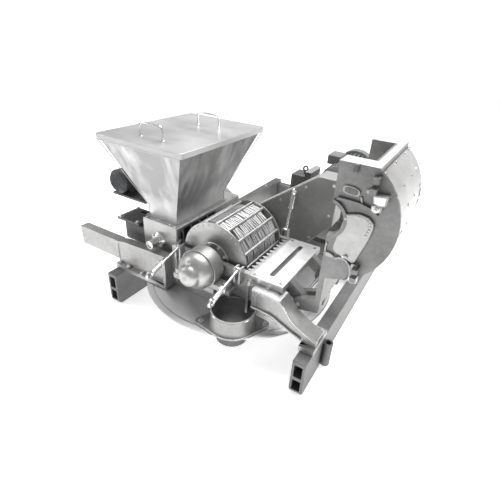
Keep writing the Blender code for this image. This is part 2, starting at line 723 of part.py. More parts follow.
def make_cover():
    low = PARTING_Z + GAP
    shell = prism("cover", cover_outline(COVER_OUTER_RADIUS), MILL_FRONT_Y, MILL_REAR_Y)
    flange_low = (CHAMBER_RADIUS - 0.040, MILL_FRONT_Y, low)
    flange = box("cover_flange", flange_low, (FLANGE_RIGHT_X, MILL_REAR_Y, low + COVER_FLANGE_THICK))
    rim_front = MILL_FRONT_Y - 0.010
    rim_rear = MILL_REAR_Y + 0.010
    rim_low = (COVER_PORT_X - COVER_RIM, rim_front, low)
    rim = box("cover_rim", rim_low, (COVER_PORT_X + 0.022, rim_rear, COVER_PORT_TOP + COVER_RIM))
    band = turned("cover_band", [(COVER_OUTER_RADIUS - 0.012, 0.018), (COVER_OUTER_RADIUS + 0.007, 0.018),
                                 (COVER_OUTER_RADIUS + 0.007, 0.0), (COVER_OUTER_RADIUS - 0.012, 0.0)],
                  (0, MILL_FRONT_Y, AXIS_Z), (0, 1, 0), FINE)
    keep = box("band_trim", (-0.5, 0, low), (0.5, 1, 1))
    boolean(band, keep, 'INTERSECT')
    cut(band, box("band_side", (-0.5, 0, 0.3), (COVER_PORT_X - COVER_RIM + EPS, 1, 1)))
    fuse(shell, flange, rim, band)
    inner_front = MILL_FRONT_Y + END_WALL
    inner_rear = MILL_REAR_Y - END_WALL
    cut(shell, rod("cover_chamber", (0, inner_front, AXIS_Z), (0, inner_rear, AXIS_Z), CHAMBER_RADIUS, FINE))
    port_low = (COVER_PORT_X - 0.05, PORT_FRONT_Y, low - EPS)
    cut(shell, box("cover_port", port_low, (COVER_PORT_X + 0.076, PORT_REAR_Y, COVER_PORT_TOP - 0.030)))
    arch_front = (0, MILL_FRONT_Y - 0.05, AXIS_Z)
    cut(shell, rod("cover_arch", arch_front, (0, MILL_REAR_Y + 0.05, AXIS_Z), COVER_ARCH_RADIUS, ROUND))
    end = math.degrees(math.asin((low + EPS - AXIS_Z) / COVER_ARCH_RADIUS))
    lip = arc((0, AXIS_Z), COVER_ARCH_RADIUS + 0.014, end, 180 - end, 12)
    lip += arc((0, AXIS_Z), COVER_ARCH_RADIUS, 180 - end, end, 12)
    fuse(shell, prism("arch_lip", lip, MILL_FRONT_Y - 0.012, MILL_FRONT_Y + EPS))
    pad = [(x, AXIS_Z + z) for x, z in COVER_PAD]
    fuse(shell, prism("cover_pad", pad, MILL_FRONT_Y - 0.010, MILL_FRONT_Y + EPS))
    rib = [(x, AXIS_Z + z) for x, z in COVER_RIDGE]
    rib += [(x - 0.010, z + 0.004) for x, z in reversed(rib)]
    fuse(shell, prism("cover_rib", rib, MILL_FRONT_Y - 0.014, MILL_FRONT_Y + EPS))
    for hand in (-1, 1):
        for wall_y, side in ((MILL_FRONT_Y, -1), (MILL_REAR_Y, 1)):
            reach = BOLT_OUTBOARD + BOLT_EYE_RADIUS + 0.004
            edges = sorted((wall_y + side * reach, wall_y - side * EPS))
            lug_low = (BOLT_X[hand] - COVER_LUG_HALF_X, edges[0], COVER_LUG_LOW)
            fuse(shell, box("clamp_lug", lug_low, (BOLT_X[hand] + COVER_LUG_HALF_X, edges[1],
                                                   COVER_LUG_TOP)))
            slot_edges = sorted((wall_y + side * (reach + EPS), wall_y + side * 0.012))
            cut(shell, box("clamp_slot", (BOLT_X[hand] - LUG_SLOT / 2, slot_edges[0], COVER_LUG_LOW - EPS),
                           (BOLT_X[hand] + LUG_SLOT / 2, slot_edges[1], COVER_LUG_TOP + EPS)))
    bare = HINGE_KNUCKLE / 2 + GAP
    for centre_y in (HINGE_FRONT_Y, HINGE_REAR_Y):
        for side in (-1, 1):
            middle = centre_y + side * (bare + 0.016)
            fuse(shell, prism("cover_knuckle", cover_knuckle_outline(low), middle - 0.016, middle + 0.016))
    for centre_y in (HINGE_FRONT_Y, HINGE_REAR_Y):
        bore_front = (HINGE_X, centre_y - 0.06, HINGE_Z)
        cut(shell, rod("cover_bore", bore_front, (HINGE_X, centre_y + 0.06, HINGE_Z), HINGE_PIN_RADIUS + GAP,
                       24))
    return shell


def cover_knuckle_outline(low):
    ring = arc((HINGE_X, HINGE_Z), HINGE_BOSS_RADIUS, -150, 10, 9)
    return ring + [(HINGE_X + 0.010, low + 0.010), (FLANGE_RIGHT_X - 0.03, low + 0.024),
                   (FLANGE_RIGHT_X - 0.03, low + EPS),
                   (FLANGE_RIGHT_X + 0.002, low + EPS)]


def swing_open(obj, mat, name, parent):
    """Turn a piece that is drawn closed about the hinge, and hang it on the hinge empty."""
    node(obj, name, mat, (HINGE_X, 0.0, HINGE_Z), parent)
    return obj


def build_cover():
    hinge = pivot("cover_hinge", (HINGE_X, 0.0, HINGE_Z))
    cover = make_cover()
    inner_front = MILL_FRONT_Y + END_WALL + GAP
    inner_rear = MILL_REAR_Y - END_WALL - GAP
    liner = make_liner("liner", 8, 134, 21, inner_front, inner_rear, LINER_SEAT, CAST)
    swing_open(cover, CAST, "mill_cover", hinge)
    swing_open(liner, CAST, "cover_liner", hinge)
    turn = Matrix.Rotation(math.radians(COVER_OPEN_ANGLE), 4, 'Y')
    hinge.matrix_basis = Matrix.Translation((HINGE_X, 0.0, HINGE_Z)) @ turn
    for tool in CUTTERS.objects:
        if tool.name.split(".")[0] in COVER_TOOLS:
            tool.matrix_basis = hinge.matrix_basis @ Matrix.Translation((-HINGE_X, 0.0, -HINGE_Z)) @ tool.matrix_basis
    return hinge


COVER_TOOLS = ("cover_flange", "cover_rim", "cover_band", "band_trim", "band_side", "cover_chamber",
               "cover_port",
               "cover_arch", "arch_lip", "cover_rib", "cover_pad", "clamp_lug", "clamp_slot",
               "cover_knuckle", "cover_bore")


# Rotor
def hammer_plates():
    """Hammer packs in rings along the drum, one pack between each pair of rods."""
    bm = bmesh.new()
    front = ROTOR_FRONT_Y + DISC_THICK
    rear = ROTOR_REAR_Y - DISC_THICK
    pitch = (rear - front) / HAMMER_GROUPS
    step = 2 * math.pi / ROD_COUNT
    tall = ROTOR_RADIUS - 0.010 - DRUM_RADIUS + 0.012
    for row in range(ROD_COUNT):
        angle = (row + 0.5) * step
        for group in range(HAMMER_GROUPS):
            y = front + (group + 0.5) * pitch
            place = (Matrix.Translation((0, y, AXIS_Z)) @ Matrix.Rotation(-angle, 4, 'Y')
                     @ Matrix.Translation((DRUM_RADIUS - 0.012 + tall / 2, 0, 0))
                     @ Matrix.Diagonal((tall, HAMMER_THICK, HAMMER_HALF_WIDTH * 2, 1)))
            bmesh.ops.create_cube(bm, size=1.0, matrix=place)
    return from_bmesh("hammer_plates", bm)


def build_rotor():
    spin = pivot("rotor_axis", (0, 0, AXIS_Z))
    axis = (0, 1, 0)
    origin = (0, ROTOR_FRONT_Y, AXIS_Z)
    bore = SHAFT_RADIUS + GAP
    front = ROTOR_FRONT_Y
    rear = ROTOR_REAR_Y
    shaft = rod("shaft", (0, SHAFT_FRONT_Y, AXIS_Z), (0, SHAFT_REAR_Y, AXIS_Z), SHAFT_RADIUS, 40)
    node(shaft, "rotor_shaft", MACHINED, origin, spin)
    drum_front = front + DISC_THICK + GAP
    drum_rear = rear - DISC_THICK - GAP
    drum = turned("drum", [(bore, drum_rear), (DRUM_RADIUS, drum_rear), (DRUM_RADIUS, drum_front),
                           (bore, drum_front)],
                  (0, 0, AXIS_Z), axis, ROUND)
    fuse(drum, hammer_plates())
    node(drum, "hammer_drum", CAST, origin, spin)
    disc = turned("disc", [(bore, front + DISC_THICK), (ROTOR_RADIUS - 0.002, front + DISC_THICK),
                           (ROTOR_RADIUS, front + DISC_THICK - 0.002),
                           (ROTOR_RADIUS, front + 0.003), (ROTOR_RADIUS - 0.003, front), (0.090, front),
                           (0.086, front - 0.004),
                           (0.062, front - 0.004), (bore, front - 0.004)], (0, 0, AXIS_Z), axis, FINE)
    node(disc, "rotor_disc_front", MACHINED, origin, spin)
    back = turned("disc", [(bore, rear), (ROTOR_RADIUS - 0.006, rear), (ROTOR_RADIUS, rear - 0.006),
                           (ROTOR_RADIUS, rear - DISC_THICK), (bore, rear - DISC_THICK)], (0, 0, AXIS_Z),
                  axis, FINE)
    reach = ROTOR_RADIUS - ROD_RADIUS - 0.001
    for i in range(ROD_COUNT):
        angle = 2 * math.pi * i / ROD_COUNT
        x = reach * math.cos(angle)
        z = AXIS_Z + reach * math.sin(angle)
        fuse(back, rod("rotor_rod", (x, front + DISC_THICK + GAP, z), (x, rear - EPS, z), ROD_RADIUS, 8))
    node(back, "rotor_rod_cage", MACHINED, origin, spin)
    return spin


def build_bearings():
    axis = (0, 1, 0)
    bore = SHAFT_RADIUS + RUN_GAP
    foot_low = SHELF_TOP + GAP
    for name, front, back, radius in (("front", BEARING_SEAM_Y, BEARING_BACK_Y, BEARING_RADIUS),
                                      ("rear", REAR_BEARING_FRONT_Y, REAR_BEARING_BACK_Y,
                                       REAR_BEARING_RADIUS)):
        body = rod("bearing", (0, front, AXIS_Z), (0, back, AXIS_Z), radius, ROUND)
        half = BEARING_FOOT_HALF_X if name == "front" else BEARING_FOOT_HALF_X - 0.008
        fuse(body, box("bearing_foot", (-half, front + 0.006, foot_low),
                       (half, back - 0.006, foot_low + BEARING_FOOT_HEIGHT)))
        cut(body, box("bearing_under", (-0.3, front - 0.02, 0.2), (0.3, back + 0.02, foot_low)))
        cut(body, rod("bearing_bore", (0, front - 0.02, AXIS_Z), (0, back + 0.02, AXIS_Z), bore, 40))
        node(body, name + "_bearing_housing", CAST, (0, front, AXIS_Z))
    seam = BEARING_SEAM_Y - GAP
    rounded = arc((seam - 0.002, 0.0), BEARING_RADIUS - 0.004, 90, 152, 8)
    profile = [(0.0, NOSE_FRONT_Y), (NOSE_RADIUS - 0.012, NOSE_FRONT_Y), (NOSE_RADIUS, NOSE_FRONT_Y + 0.010)]
    profile += [(radius, y) for y, radius in reversed(rounded)]
    profile += [(BEARING_RADIUS - 0.004, seam), (bore, seam), (bore, SHAFT_FRONT_Y - 0.004),
                (0.0, SHAFT_FRONT_Y - 0.004)]
    cap = turned("cap", list(reversed(profile)), (0, 0, AXIS_Z), axis, ROUND)
    node(cap, "front_bearing_cap", CAST, (0, seam, AXIS_Z))


# Arms
def build_arms():
    foot = RAIL_HEIGHT + GAP
    inner = RAIL_CENTRE_X - RAIL_WIDTH / 2
    outer = RAIL_CENTRE_X + RAIL_WIDTH / 2
    near = MILL_LEFT_X - GAP
    web_y = (ARM_FRONT_Y, ARM_FRONT_Y + ARM_WEB)
    tuck = 0.003
    root = near - tuck
    bend = (near - inner) / 2
    beam_root = -(outer + 0.002)
    crest = LEFT_ARM_TOP + 0.024
    top = [(root, crest - tuck), (bend, crest - 0.002 - tuck), (-inner, crest - 0.010 - tuck),
           (beam_root, LEFT_ARM_TOP - tuck)]
    bottom = [(beam_root, foot + tuck), (root, foot + tuck)]
    left = prism("left_arm", top + bottom, *web_y)
    beam_low = (LEFT_ARM_END_X, ARM_FRONT_Y - tuck, LEFT_ARM_BOTTOM)
    fuse(left, box("arm_beam", beam_low, (beam_root + 0.010, ARM_FRONT_Y + ARM_DEPTH, LEFT_ARM_TOP)))
    lower = [(-outer, foot), (root - tuck, foot), (root - tuck, foot + ARM_FLANGE),
             (0.080 - inner, foot + ARM_FLANGE), (-outer, foot + 0.034)]
    fuse(left, prism("arm_flange", lower, ARM_FLANGE_FRONT_Y, ARM_FLANGE_BACK_Y))
    over = [(root - tuck, crest), (bend, crest - 0.002), (-inner, crest - 0.010),
            (beam_root + 0.005, LEFT_ARM_TOP + 0.001)]
    upper = over + [(x, z - 0.014) for x, z in reversed(over)]
    fuse(left, prism("arm_lip", upper, ARM_FRONT_Y - 0.009, ARM_FRONT_Y + ARM_WEB + 0.010))
    end_low = (near - 0.020, ARM_FLANGE_FRONT_Y + tuck, foot + tuck / 2)
    fuse(left, box("arm_end", end_low, (near, MILL_FRONT_Y + 0.030, crest - 0.004)))
    node(left, "left_arm", CAST, (-RAIL_CENTRE_X, ARM_FRONT_Y, foot))

    near = MILL_RIGHT_X + GAP
    root = near + tuck
    under = PARTING_Z - FLANGE_THICK - GAP
    span = outer - near
    rise = under - foot
    crown = [(near + span * share, foot + rise * height) for share, height in RIGHT_ARM_CROWN]
    belly = [(near + span * share, foot + rise * height) for share, height in RIGHT_ARM_BELLY]
    toe = crown[-1][1]
    face = [(x, z - tuck) for x, z in crown[:-1]]
    face += [(outer - tuck, toe - tuck), (outer - tuck, foot + tuck), (inner, foot + tuck)]
    right = prism("right_arm", face + [(x, z + tuck) for x, z in belly], *web_y)
    thick = 0.014
    over = crown + [(x, z - thick) for x, z in reversed(crown)]
    fuse(right, prism("crown", over, RIGHT_FLANGE_FRONT_Y, ARM_FLANGE_BACK_Y))
    strip = belly + [(x, z + thick) for x, z in reversed(belly)]
    fuse(right, prism("belly", strip, RIGHT_FLANGE_FRONT_Y + tuck, ARM_FLANGE_BACK_Y - tuck))
    fuse(right, box("arm_pad", (inner - 0.008, ARM_FLANGE_FRONT_Y, foot),
                    (outer + 0.001, 0.255, foot + 0.030)))
    root_low = (near, RIGHT_FLANGE_FRONT_Y + 2 * tuck, foot + rise * 0.52)
    fuse(right, box("arm_root", root_low, (near + 0.022, MILL_FRONT_Y + 0.030, under - tuck)))
    node(right, "right_arm", CAST, (RAIL_CENTRE_X, ARM_FRONT_Y, foot))


# Swing bolts
def build_swing_bolt(name, hand, wall_y, side, angle):
    """Draw the bolt upright on its pivot, then lean it outward by an angle."""
    pivot_y = wall_y + side * BOLT_OUTBOARD
    place = (BOLT_X[hand], pivot_y, BOLT_PIVOT_Z)
    swing = pivot(name + "_pivot", place)
    half = LUG_SLOT / 2 - RUN_GAP
    x = BOLT_X[hand]
    reach = LUG_SLOT / 2 + LUG_CHEEK + 0.004
    eye = turned("bolt_eye", [(0.0, reach), (BOLT_PIN_RADIUS, reach), (BOLT_PIN_RADIUS, half),
                              (BOLT_EYE_RADIUS, half),
                              (BOLT_EYE_RADIUS, -half), (BOLT_PIN_RADIUS, -half), (BOLT_PIN_RADIUS, -reach),
                              (0.0, -reach)],
                 place, (1, 0, 0), 20)
    shank_top = BOLT_PIVOT_Z + BOLT_LENGTH
    shank = rod("bolt_shank", (x, pivot_y, BOLT_PIVOT_Z + BOLT_EYE_RADIUS - 0.003),
                (x, pivot_y, shank_top - 0.030), BOLT_ROD_RADIUS, 14)
    fuse(eye, shank)
    node(eye, name, MACHINED, place, swing)
    nut_low = BOLT_PIVOT_Z + NUT_STAND
    nut_top = nut_low + NUT_LENGTH
    bore = BOLT_ROD_RADIUS + GAP
    solid = rod("nut", (x, pivot_y, nut_low), (x, pivot_y, nut_top), NUT_RADIUS, 16)
    fuse(solid, rod("nut_collar", (x, pivot_y, nut_low), (x, pivot_y, nut_low + 0.010), NUT_RADIUS + 0.005,
                    16))
    ring = turned("nut_ring", ring_profile(NUT_EYE_RADIUS, NUT_EYE_WIRE, 6),
                  (x, pivot_y, nut_top + NUT_EYE_RADIUS), (1, 0, 0), 18)
    fuse(solid, ring)
    cut(solid, rod("nut_bore", (x, pivot_y, nut_low - EPS), (x, pivot_y, shank_top - 0.022), bore, 14))
    node(solid, name + "_eye_nut", MACHINED, (x, pivot_y, nut_low), swing)
    turn = Matrix.Rotation(math.radians(-side * angle), 4, 'X')
    swing.matrix_basis = Matrix.Translation(place) @ turn
    for tool in CUTTERS.objects:
        if tool.name.split(".")[0] in ("bolt_shank", "nut_collar", "nut_ring",
                                       "nut_bore") and "posed" not in tool:
            tool.matrix_basis = swing.matrix_basis @ Matrix.Translation(-Vector(place)) @ tool.matrix_basis
            tool["posed"] = True


def ring_profile(radius, wire_radius, sides):
    points = arc((radius, 0.0), wire_radius, 90, 90 - 360 * (sides - 1) / sides, sides - 1)
    return points


# Feeder
def build_feeder():
    right = MILL_LEFT_X - GAP
    trough = box("trough", (TROUGH_LEFT_X, TROUGH_FRONT_Y, TROUGH_LOW_Z),
                 (right, TROUGH_REAR_Y, TROUGH_TOP_Z))
    bevel(trough, 0.006)
    inner_front = TROUGH_FRONT_Y + TROUGH_END
    inner_rear = TROUGH_REAR_Y - TROUGH_END
    cut(trough, rod("trough_bore", (SCREW_X, inner_front, SCREW_Z), (SCREW_X, inner_rear, SCREW_Z),
                    TROUGH_BORE, FINE))
    cut(trough, box("trough_mouth", (NECK_LEFT_X + 0.016, NECK_FRONT_Y + 0.008, SCREW_Z),
                    (NECK_RIGHT_X - 0.008, NECK_REAR_Y - 0.008, TROUGH_TOP_Z + EPS)))
    cut(trough, box("trough_port", (SCREW_X, PORT_FRONT_Y, PORT_LOW_Z),
                    (right + EPS, PORT_REAR_Y, TROUGH_TOP_Z - 0.020)))
    cut(trough, rod("trough_shaft", (SCREW_X, TROUGH_FRONT_Y - 0.02, SCREW_Z),
                    (SCREW_X, TROUGH_REAR_Y + 0.02, SCREW_Z), SCREW_SHAFT_RADIUS + RUN_GAP, 32))
    node(trough, "feeder_trough", CAST, (SCREW_X, TROUGH_FRONT_Y, SCREW_Z))

    spin = pivot("screw_axis", (SCREW_X, 0, SCREW_Z))
    start = inner_front + 0.004
    length = inner_rear - start - 0.004 - SCREW_SHEET
    flight = helix("flight", start, length)
    shaft = rod("screw_shaft", (SCREW_X, SCREW_NOSE_Y + 0.010, SCREW_Z),
                (SCREW_X, TROUGH_REAR_Y + GUARD_DEPTH * 0.7, SCREW_Z), SCREW_SHAFT_RADIUS, 24)
    fuse(shaft, flight)
    node(shaft, "feed_screw", MACHINED, (SCREW_X, inner_front, SCREW_Z), spin)

    bearing_back = TROUGH_FRONT_Y - GAP
    bearing_front = bearing_back - SCREW_BEARING_LENGTH
    profile = [(SCREW_SHAFT_RADIUS + RUN_GAP, bearing_back), (SCREW_BEARING_RADIUS, bearing_back),
               (SCREW_BEARING_RADIUS, bearing_front + 0.012),
               (SCREW_NOSE_RADIUS + 0.010, bearing_front), (SCREW_NOSE_RADIUS, bearing_front),
               (SCREW_NOSE_RADIUS, SCREW_NOSE_Y + 0.004),
               (SCREW_SHAFT_RADIUS + RUN_GAP, SCREW_NOSE_Y + 0.004)]
    bearing = turned("bearing", profile, (SCREW_X, 0, SCREW_Z), (0, 1, 0), ROUND)
    node(bearing, "feed_screw_bearing", MACHINED, (SCREW_X, bearing_front, SCREW_Z))


def helix(name, start_y, length):
    """A screw flight: a thin section swept along the shaft by the Screw modifier, ends filled."""
    turns = length / SCREW_PITCH
    steps = 14
    mesh = bpy.data.meshes.new(name)
    low = SCREW_SHAFT_RADIUS - 0.005
    high = SCREW_RADIUS
    half = SCREW_SHEET / 2
    mesh.from_pydata([(low, 0, half), (high, 0, half), (high, 0, -half), (low, 0, -half)],
                     [(0, 1), (1, 2), (2, 3), (3, 0)], [])
    obj = new_object(name, mesh)
    screw = obj.modifiers.new("helix", 'SCREW')
    screw.axis = 'Z'
    screw.angle = 2 * math.pi * turns
    screw.screw_offset = length
    screw.iterations = 1
    screw.steps = int(steps * turns)
    screw.render_steps = int(steps * turns)
    screw.merge_threshold = 0.00002
    obj.matrix_basis = Matrix.Translation((SCREW_X, start_y + half, SCREW_Z)) @ along((0, 1, 0))
    bpy.context.view_layer.update()
    obj = baked(obj)
    bm = bmesh.new()
    bm.from_mesh(obj.data)
    bmesh.ops.holes_fill(bm, edges=[edge for edge in bm.edges if edge.is_boundary], sides=4)
    bmesh.ops.recalc_face_normals(bm, faces=bm.faces)
    bm.to_mesh(obj.data)
    bm.free()
    return obj


# Hopper
def build_hopper():
    neck_z = TROUGH_TOP_Z + GAP
    bm = bmesh.new()
    bmesh.ops.create_cube(bm, size=1.0)
    corners = {(-1, -1, -1): (NECK_LEFT_X, NECK_FRONT_Y, NECK_TOP_Z),
               (1, -1, -1): (NECK_RIGHT_X, NECK_FRONT_Y, NECK_TOP_Z),
               (-1, 1, -1): (NECK_LEFT_X, NECK_REAR_Y, NECK_TOP_Z),
               (1, 1, -1): (NECK_RIGHT_X, NECK_REAR_Y, NECK_TOP_Z),
               (-1, -1, 1): (HOPPER_LEFT_X, HOPPER_FRONT_Y, HOPPER_TOP_Z),
               (1, -1, 1): (HOPPER_RIGHT_X, HOPPER_FRONT_Y, HOPPER_TOP_Z),
               (-1, 1, 1): (HOPPER_LEFT_X, HOPPER_REAR_Y, HOPPER_TOP_Z),
               (1, 1, 1): (HOPPER_RIGHT_X, HOPPER_REAR_Y, HOPPER_TOP_Z)}
    for vert in bm.verts:
        key = tuple(1 if value > 0 else -1 for value in vert.co)
        vert.co = corners[key]
    bm.faces.ensure_lookup_table()
    flat = [face for face in bm.faces if abs(face.normal.z) > 0.9]
    bmesh.ops.delete(bm, geom=flat, context='FACES_ONLY')
    rim = [edge for edge in bm.edges if all(abs(v.co.z - NECK_TOP_Z) < EPS for v in edge.verts)]
    grown = bmesh.ops.extrude_edge_only(bm, edges=rim)
    for vert in grown["geom"]:
        if isinstance(vert, bmesh.types.BMVert):
            vert.co.z = neck_z
    bmesh.ops.recalc_face_normals(bm, faces=bm.faces)
    hopper = from_bmesh("hopper", bm)
    shell = hopper.modifiers.new("sheet", 'SOLIDIFY')
    shell.thickness = HOPPER_SHEET
    shell.offset = -1.0
    shell.use_even_offset = True
    rim_z = HOPPER_TOP_Z - HOPPER_TRIM
    cut(hopper, box("hopper_trim", (-1.0, -0.2, rim_z), (0.2, 1.2, HOPPER_TOP_Z + 0.05)))
    node(hopper, "hopper", STAINLESS, ((NECK_LEFT_X + NECK_RIGHT_X) / 2, NECK_FRONT_Y, neck_z))

    out = LID_OVERHANG
    top = rim_z + GAP + LID_SHEET
    low = (HOPPER_LEFT_X - out, HOPPER_FRONT_Y - out, HOPPER_TOP_Z - LID_SKIRT)
    high = (HOPPER_RIGHT_X + out, HOPPER_REAR_Y + out, top)
    lid = prism("lid", rounded_rectangle(low[0], low[1], high[0], high[1], LID_CORNER), low[2], top, 'XY')
    bevel(lid, 0.003)
    inner = LID_SHEET
    hollow = rounded_rectangle(low[0] + inner, low[1] + inner, high[0] - inner, high[1] - inner,
                               LID_CORNER - inner)
    cut(lid, prism("lid_hollow", hollow, low[2] - EPS, top - LID_SHEET, 'XY'))
    lift = pivot("lid_lift", ((low[0] + high[0]) / 2, (low[1] + high[1]) / 2, top))
    node(lid, "hopper_lid", STAINLESS, lift.location, lift)
    for name, (x, y) in (("front", HANDLE_FRONT), ("rear", HANDLE_REAR)):
        half = HANDLE_LENGTH / 2
        base = top + GAP
        crown = base + HANDLE_HEIGHT
        bend = 0.016
        points = [(x - half, y, base)]
        points += [(px, y, pz) for px, pz in arc((x - half + bend, crown - bend), bend, 180, 90, 3)]
        points += [(px, y, pz) for px, pz in arc((x + half - bend, crown - bend), bend, 90, 0, 3)]
        points += [(x + half, y, base)]
        bail = wire("bail", points, HANDLE_WIRE, 2)
        node(bail, "lid_handle_" + name, MACHINED, (x, y, base), lift)


def rounded_rectangle(x0, y0, x1, y1, radius):
    points = arc((x1 - radius, y0 + radius), radius, -90, 0, 4)
    points += arc((x1 - radius, y1 - radius), radius, 0, 90, 4)
    points += arc((x0 + radius, y1 - radius), radius, 90, 180, 4)
    points += arc((x0 + radius, y0 + radius), radius, 180, 270, 4)
    return points


# Feeder drive
def build_feeder_drive():
    wall = TROUGH_LEFT_X - GAP
    case = box("gearcase", (GEARCASE_LEFT_X, GEARCASE_FRONT_Y, GEARCASE_LOW_Z),
               (wall, GEARCASE_REAR_Y, GEARCASE_TOP_Z))
    bevel(case, 0.016, 3)
    node(case, "feeder_gearcase", CAST, (wall, GEARCASE_FRONT_Y, GEARCASE_LOW_Z))
    table_low = GEARCASE_TOP_Z + GAP
    table = box("table", (TABLE_LEFT_X, GEARCASE_FRONT_Y - 0.010, table_low),
                (wall - 0.050, GEARCASE_REAR_Y + 0.010, table_low + TABLE_THICK))
    bevel(table, 0.003)
    slot_y = GEARCASE_REAR_Y - 0.020
    slot_low = (TABLE_LEFT_X + 0.070, slot_y - 0.018, table_low - EPS)
    cut(table, box("table_slot", slot_low, (TABLE_LEFT_X + 0.125, slot_y + 0.004,
                                            table_low + TABLE_THICK + EPS)))
    node(table, "drive_table", CAST, (TABLE_LEFT_X, GEARCASE_FRONT_Y, table_low))

    foot_low = FEED_MOTOR_Z - FEED_MOTOR_RADIUS - 0.014
    plate_low = foot_low - GAP - BRACKET_SHEET
    bracket_y = (0.235, 0.455)
    upright = box("upright", (wall - 0.014, bracket_y[0], TROUGH_LOW_Z + 0.16),
                  (wall, bracket_y[1], TROUGH_TOP_Z - 0.004))
    riser_x = wall - 0.024
    fuse(upright, box("riser", (riser_x, 0.385, TROUGH_TOP_Z - 0.02),
                      (wall - 0.012, bracket_y[1], plate_low + BRACKET_SHEET)))
    fuse(upright, box("shelf", (FEED_MOTOR_X - 0.070, bracket_y[0], plate_low),
                      (riser_x + 0.006, bracket_y[1], plate_low + BRACKET_SHEET)))
    node(upright, "feeder_motor_bracket", STEEL, (wall, bracket_y[0], TROUGH_LOW_Z))

    axis = (0, 1, 0)
    centre = (FEED_MOTOR_X, 0, FEED_MOTOR_Z)
    cowl_rear = FEED_MOTOR_FRONT_Y + 0.055
    body = finned_frame("feed_motor", centre, FEED_MOTOR_RADIUS, 0.006, 20, cowl_rear + GAP,
                        FEED_MOTOR_REAR_Y)
    for hand in (-1, 1):
        fuse(body, box("feed_foot", (FEED_MOTOR_X + hand * 0.034 - 0.016, 0.285, foot_low),
                       (FEED_MOTOR_X + hand * 0.034 + 0.016, 0.430, FEED_MOTOR_Z - 0.040)))
    radius = FEED_MOTOR_RADIUS
    cowl = turned("cowl", [(0.0, cowl_rear), (radius + 0.002, cowl_rear),
                           (radius + 0.002, FEED_MOTOR_FRONT_Y + 0.012),
                           (radius - 0.010, FEED_MOTOR_FRONT_Y), (0.0, FEED_MOTOR_FRONT_Y)], centre, axis,
                  ROUND)
    node(cowl, "feeder_motor_cowl", PAINT, (FEED_MOTOR_X, FEED_MOTOR_FRONT_Y, FEED_MOTOR_Z))
    gear_front = FEED_MOTOR_REAR_Y - EPS
    gear_rear = gear_front + REDUCER_LENGTH
    fuse(body, rod("reducer", (FEED_MOTOR_X, gear_front, FEED_MOTOR_Z),
                   (FEED_MOTOR_X, gear_rear - 0.035, FEED_MOTOR_Z), REDUCER_RADIUS, ROUND))
    fuse(body, rod("reducer_nose", (FEED_MOTOR_X, gear_rear - 0.040, FEED_MOTOR_Z),
                   (FEED_MOTOR_X, gear_rear, FEED_MOTOR_Z), REDUCER_RADIUS - 0.016, ROUND))
    cut(body, rod("reducer_bore", (FEED_MOTOR_X, gear_front + 0.04, FEED_MOTOR_Z),
                  (FEED_MOTOR_X, gear_rear + EPS, FEED_MOTOR_Z), DRIVE_SHAFT_RADIUS + RUN_GAP, 24))
    node(body, "feeder_gearmotor", PAINT, (FEED_MOTOR_X, cowl_rear, FEED_MOTOR_Z))

    guard_front = TROUGH_REAR_Y + GAP
    guard_rear = guard_front + GUARD_DEPTH
    outline = belt_hull((FEED_MOTOR_X, FEED_MOTOR_Z), 0.052, (SCREW_X, SCREW_Z), 0.082, 10)
    guard = prism("guard", outline, guard_front, guard_rear)
    bevel(guard, 0.006)
    cut(guard, rod("guard_screw", (SCREW_X, guard_front - EPS, SCREW_Z),
                   (SCREW_X, guard_rear - 0.012, SCREW_Z), SCREW_SHAFT_RADIUS + RUN_GAP, 32))
    cut(guard, rod("guard_drive", (FEED_MOTOR_X, guard_front - EPS, FEED_MOTOR_Z),
                   (FEED_MOTOR_X, guard_rear - 0.012, FEED_MOTOR_Z), DRIVE_SHAFT_RADIUS + RUN_GAP, 24))
    node(guard, "feeder_chain_guard", STEEL, (SCREW_X, guard_front, SCREW_Z))
    spin = pivot("drive_axis", centre)
    shaft = rod("drive", (FEED_MOTOR_X, gear_front + 0.045, FEED_MOTOR_Z),
                (FEED_MOTOR_X, guard_rear - 0.018, FEED_MOTOR_Z), DRIVE_SHAFT_RADIUS, 24)
    node(shaft, "feeder_drive_shaft", MACHINED, (FEED_MOTOR_X, gear_front, FEED_MOTOR_Z), spin)


def belt_hull(first, first_radius, second, second_radius, steps):
    """Outline of two circles joined by their outer tangents."""
    dx = second[0] - first[0]
    dz = second[1] - first[1]
    heading = math.degrees(math.atan2(dz, dx))
    lean = math.degrees(math.acos((first_radius - second_radius) / math.hypot(dx, dz)))
    points = arc(first, first_radius, heading + lean, heading + 360 - lean, steps)
    points += arc(second, second_radius, heading - lean, heading + lean, steps)
    return points


def finned_frame(name, centre, radius, depth, fins, front, rear):
    """A ribbed motor frame: a toothed outline drawn along the axis."""
    outline = []
    for i in range(fins):
        base = 360.0 * i / fins
        width = 360.0 / fins
        for share, reach in ((0.0, radius), (0.34, radius), (0.44, radius - depth), (0.90, radius - depth)):
            angle = math.radians(base + share * width)
            outline.append((centre[0] + reach * math.cos(angle), centre[2] + reach * math.sin(angle)))
    return prism(name, outline, front, rear)


# Belt drive
def guard_outline(inset):
    arc_radius = BELT_GUARD_ARC - inset
    slope = math.degrees(math.atan2(BELT_GUARD_TOP_Z - 0.577, BELT_GUARD_TOP_X + 0.020))
    points = [(BELT_GUARD_TOP_X + inset * 0.5, BELT_GUARD_TOP_Z - inset)]
    points += arc((0.0, AXIS_Z), arc_radius, slope + 90, 270, 10)
    points += [(BELT_GUARD_LOW_X, AXIS_Z - arc_radius), (BELT_GUARD_RIGHT_X - inset, 0.560)]
    points += [(BELT_GUARD_RIGHT_X - inset, BELT_GUARD_TOP_Z - inset)]
    return points


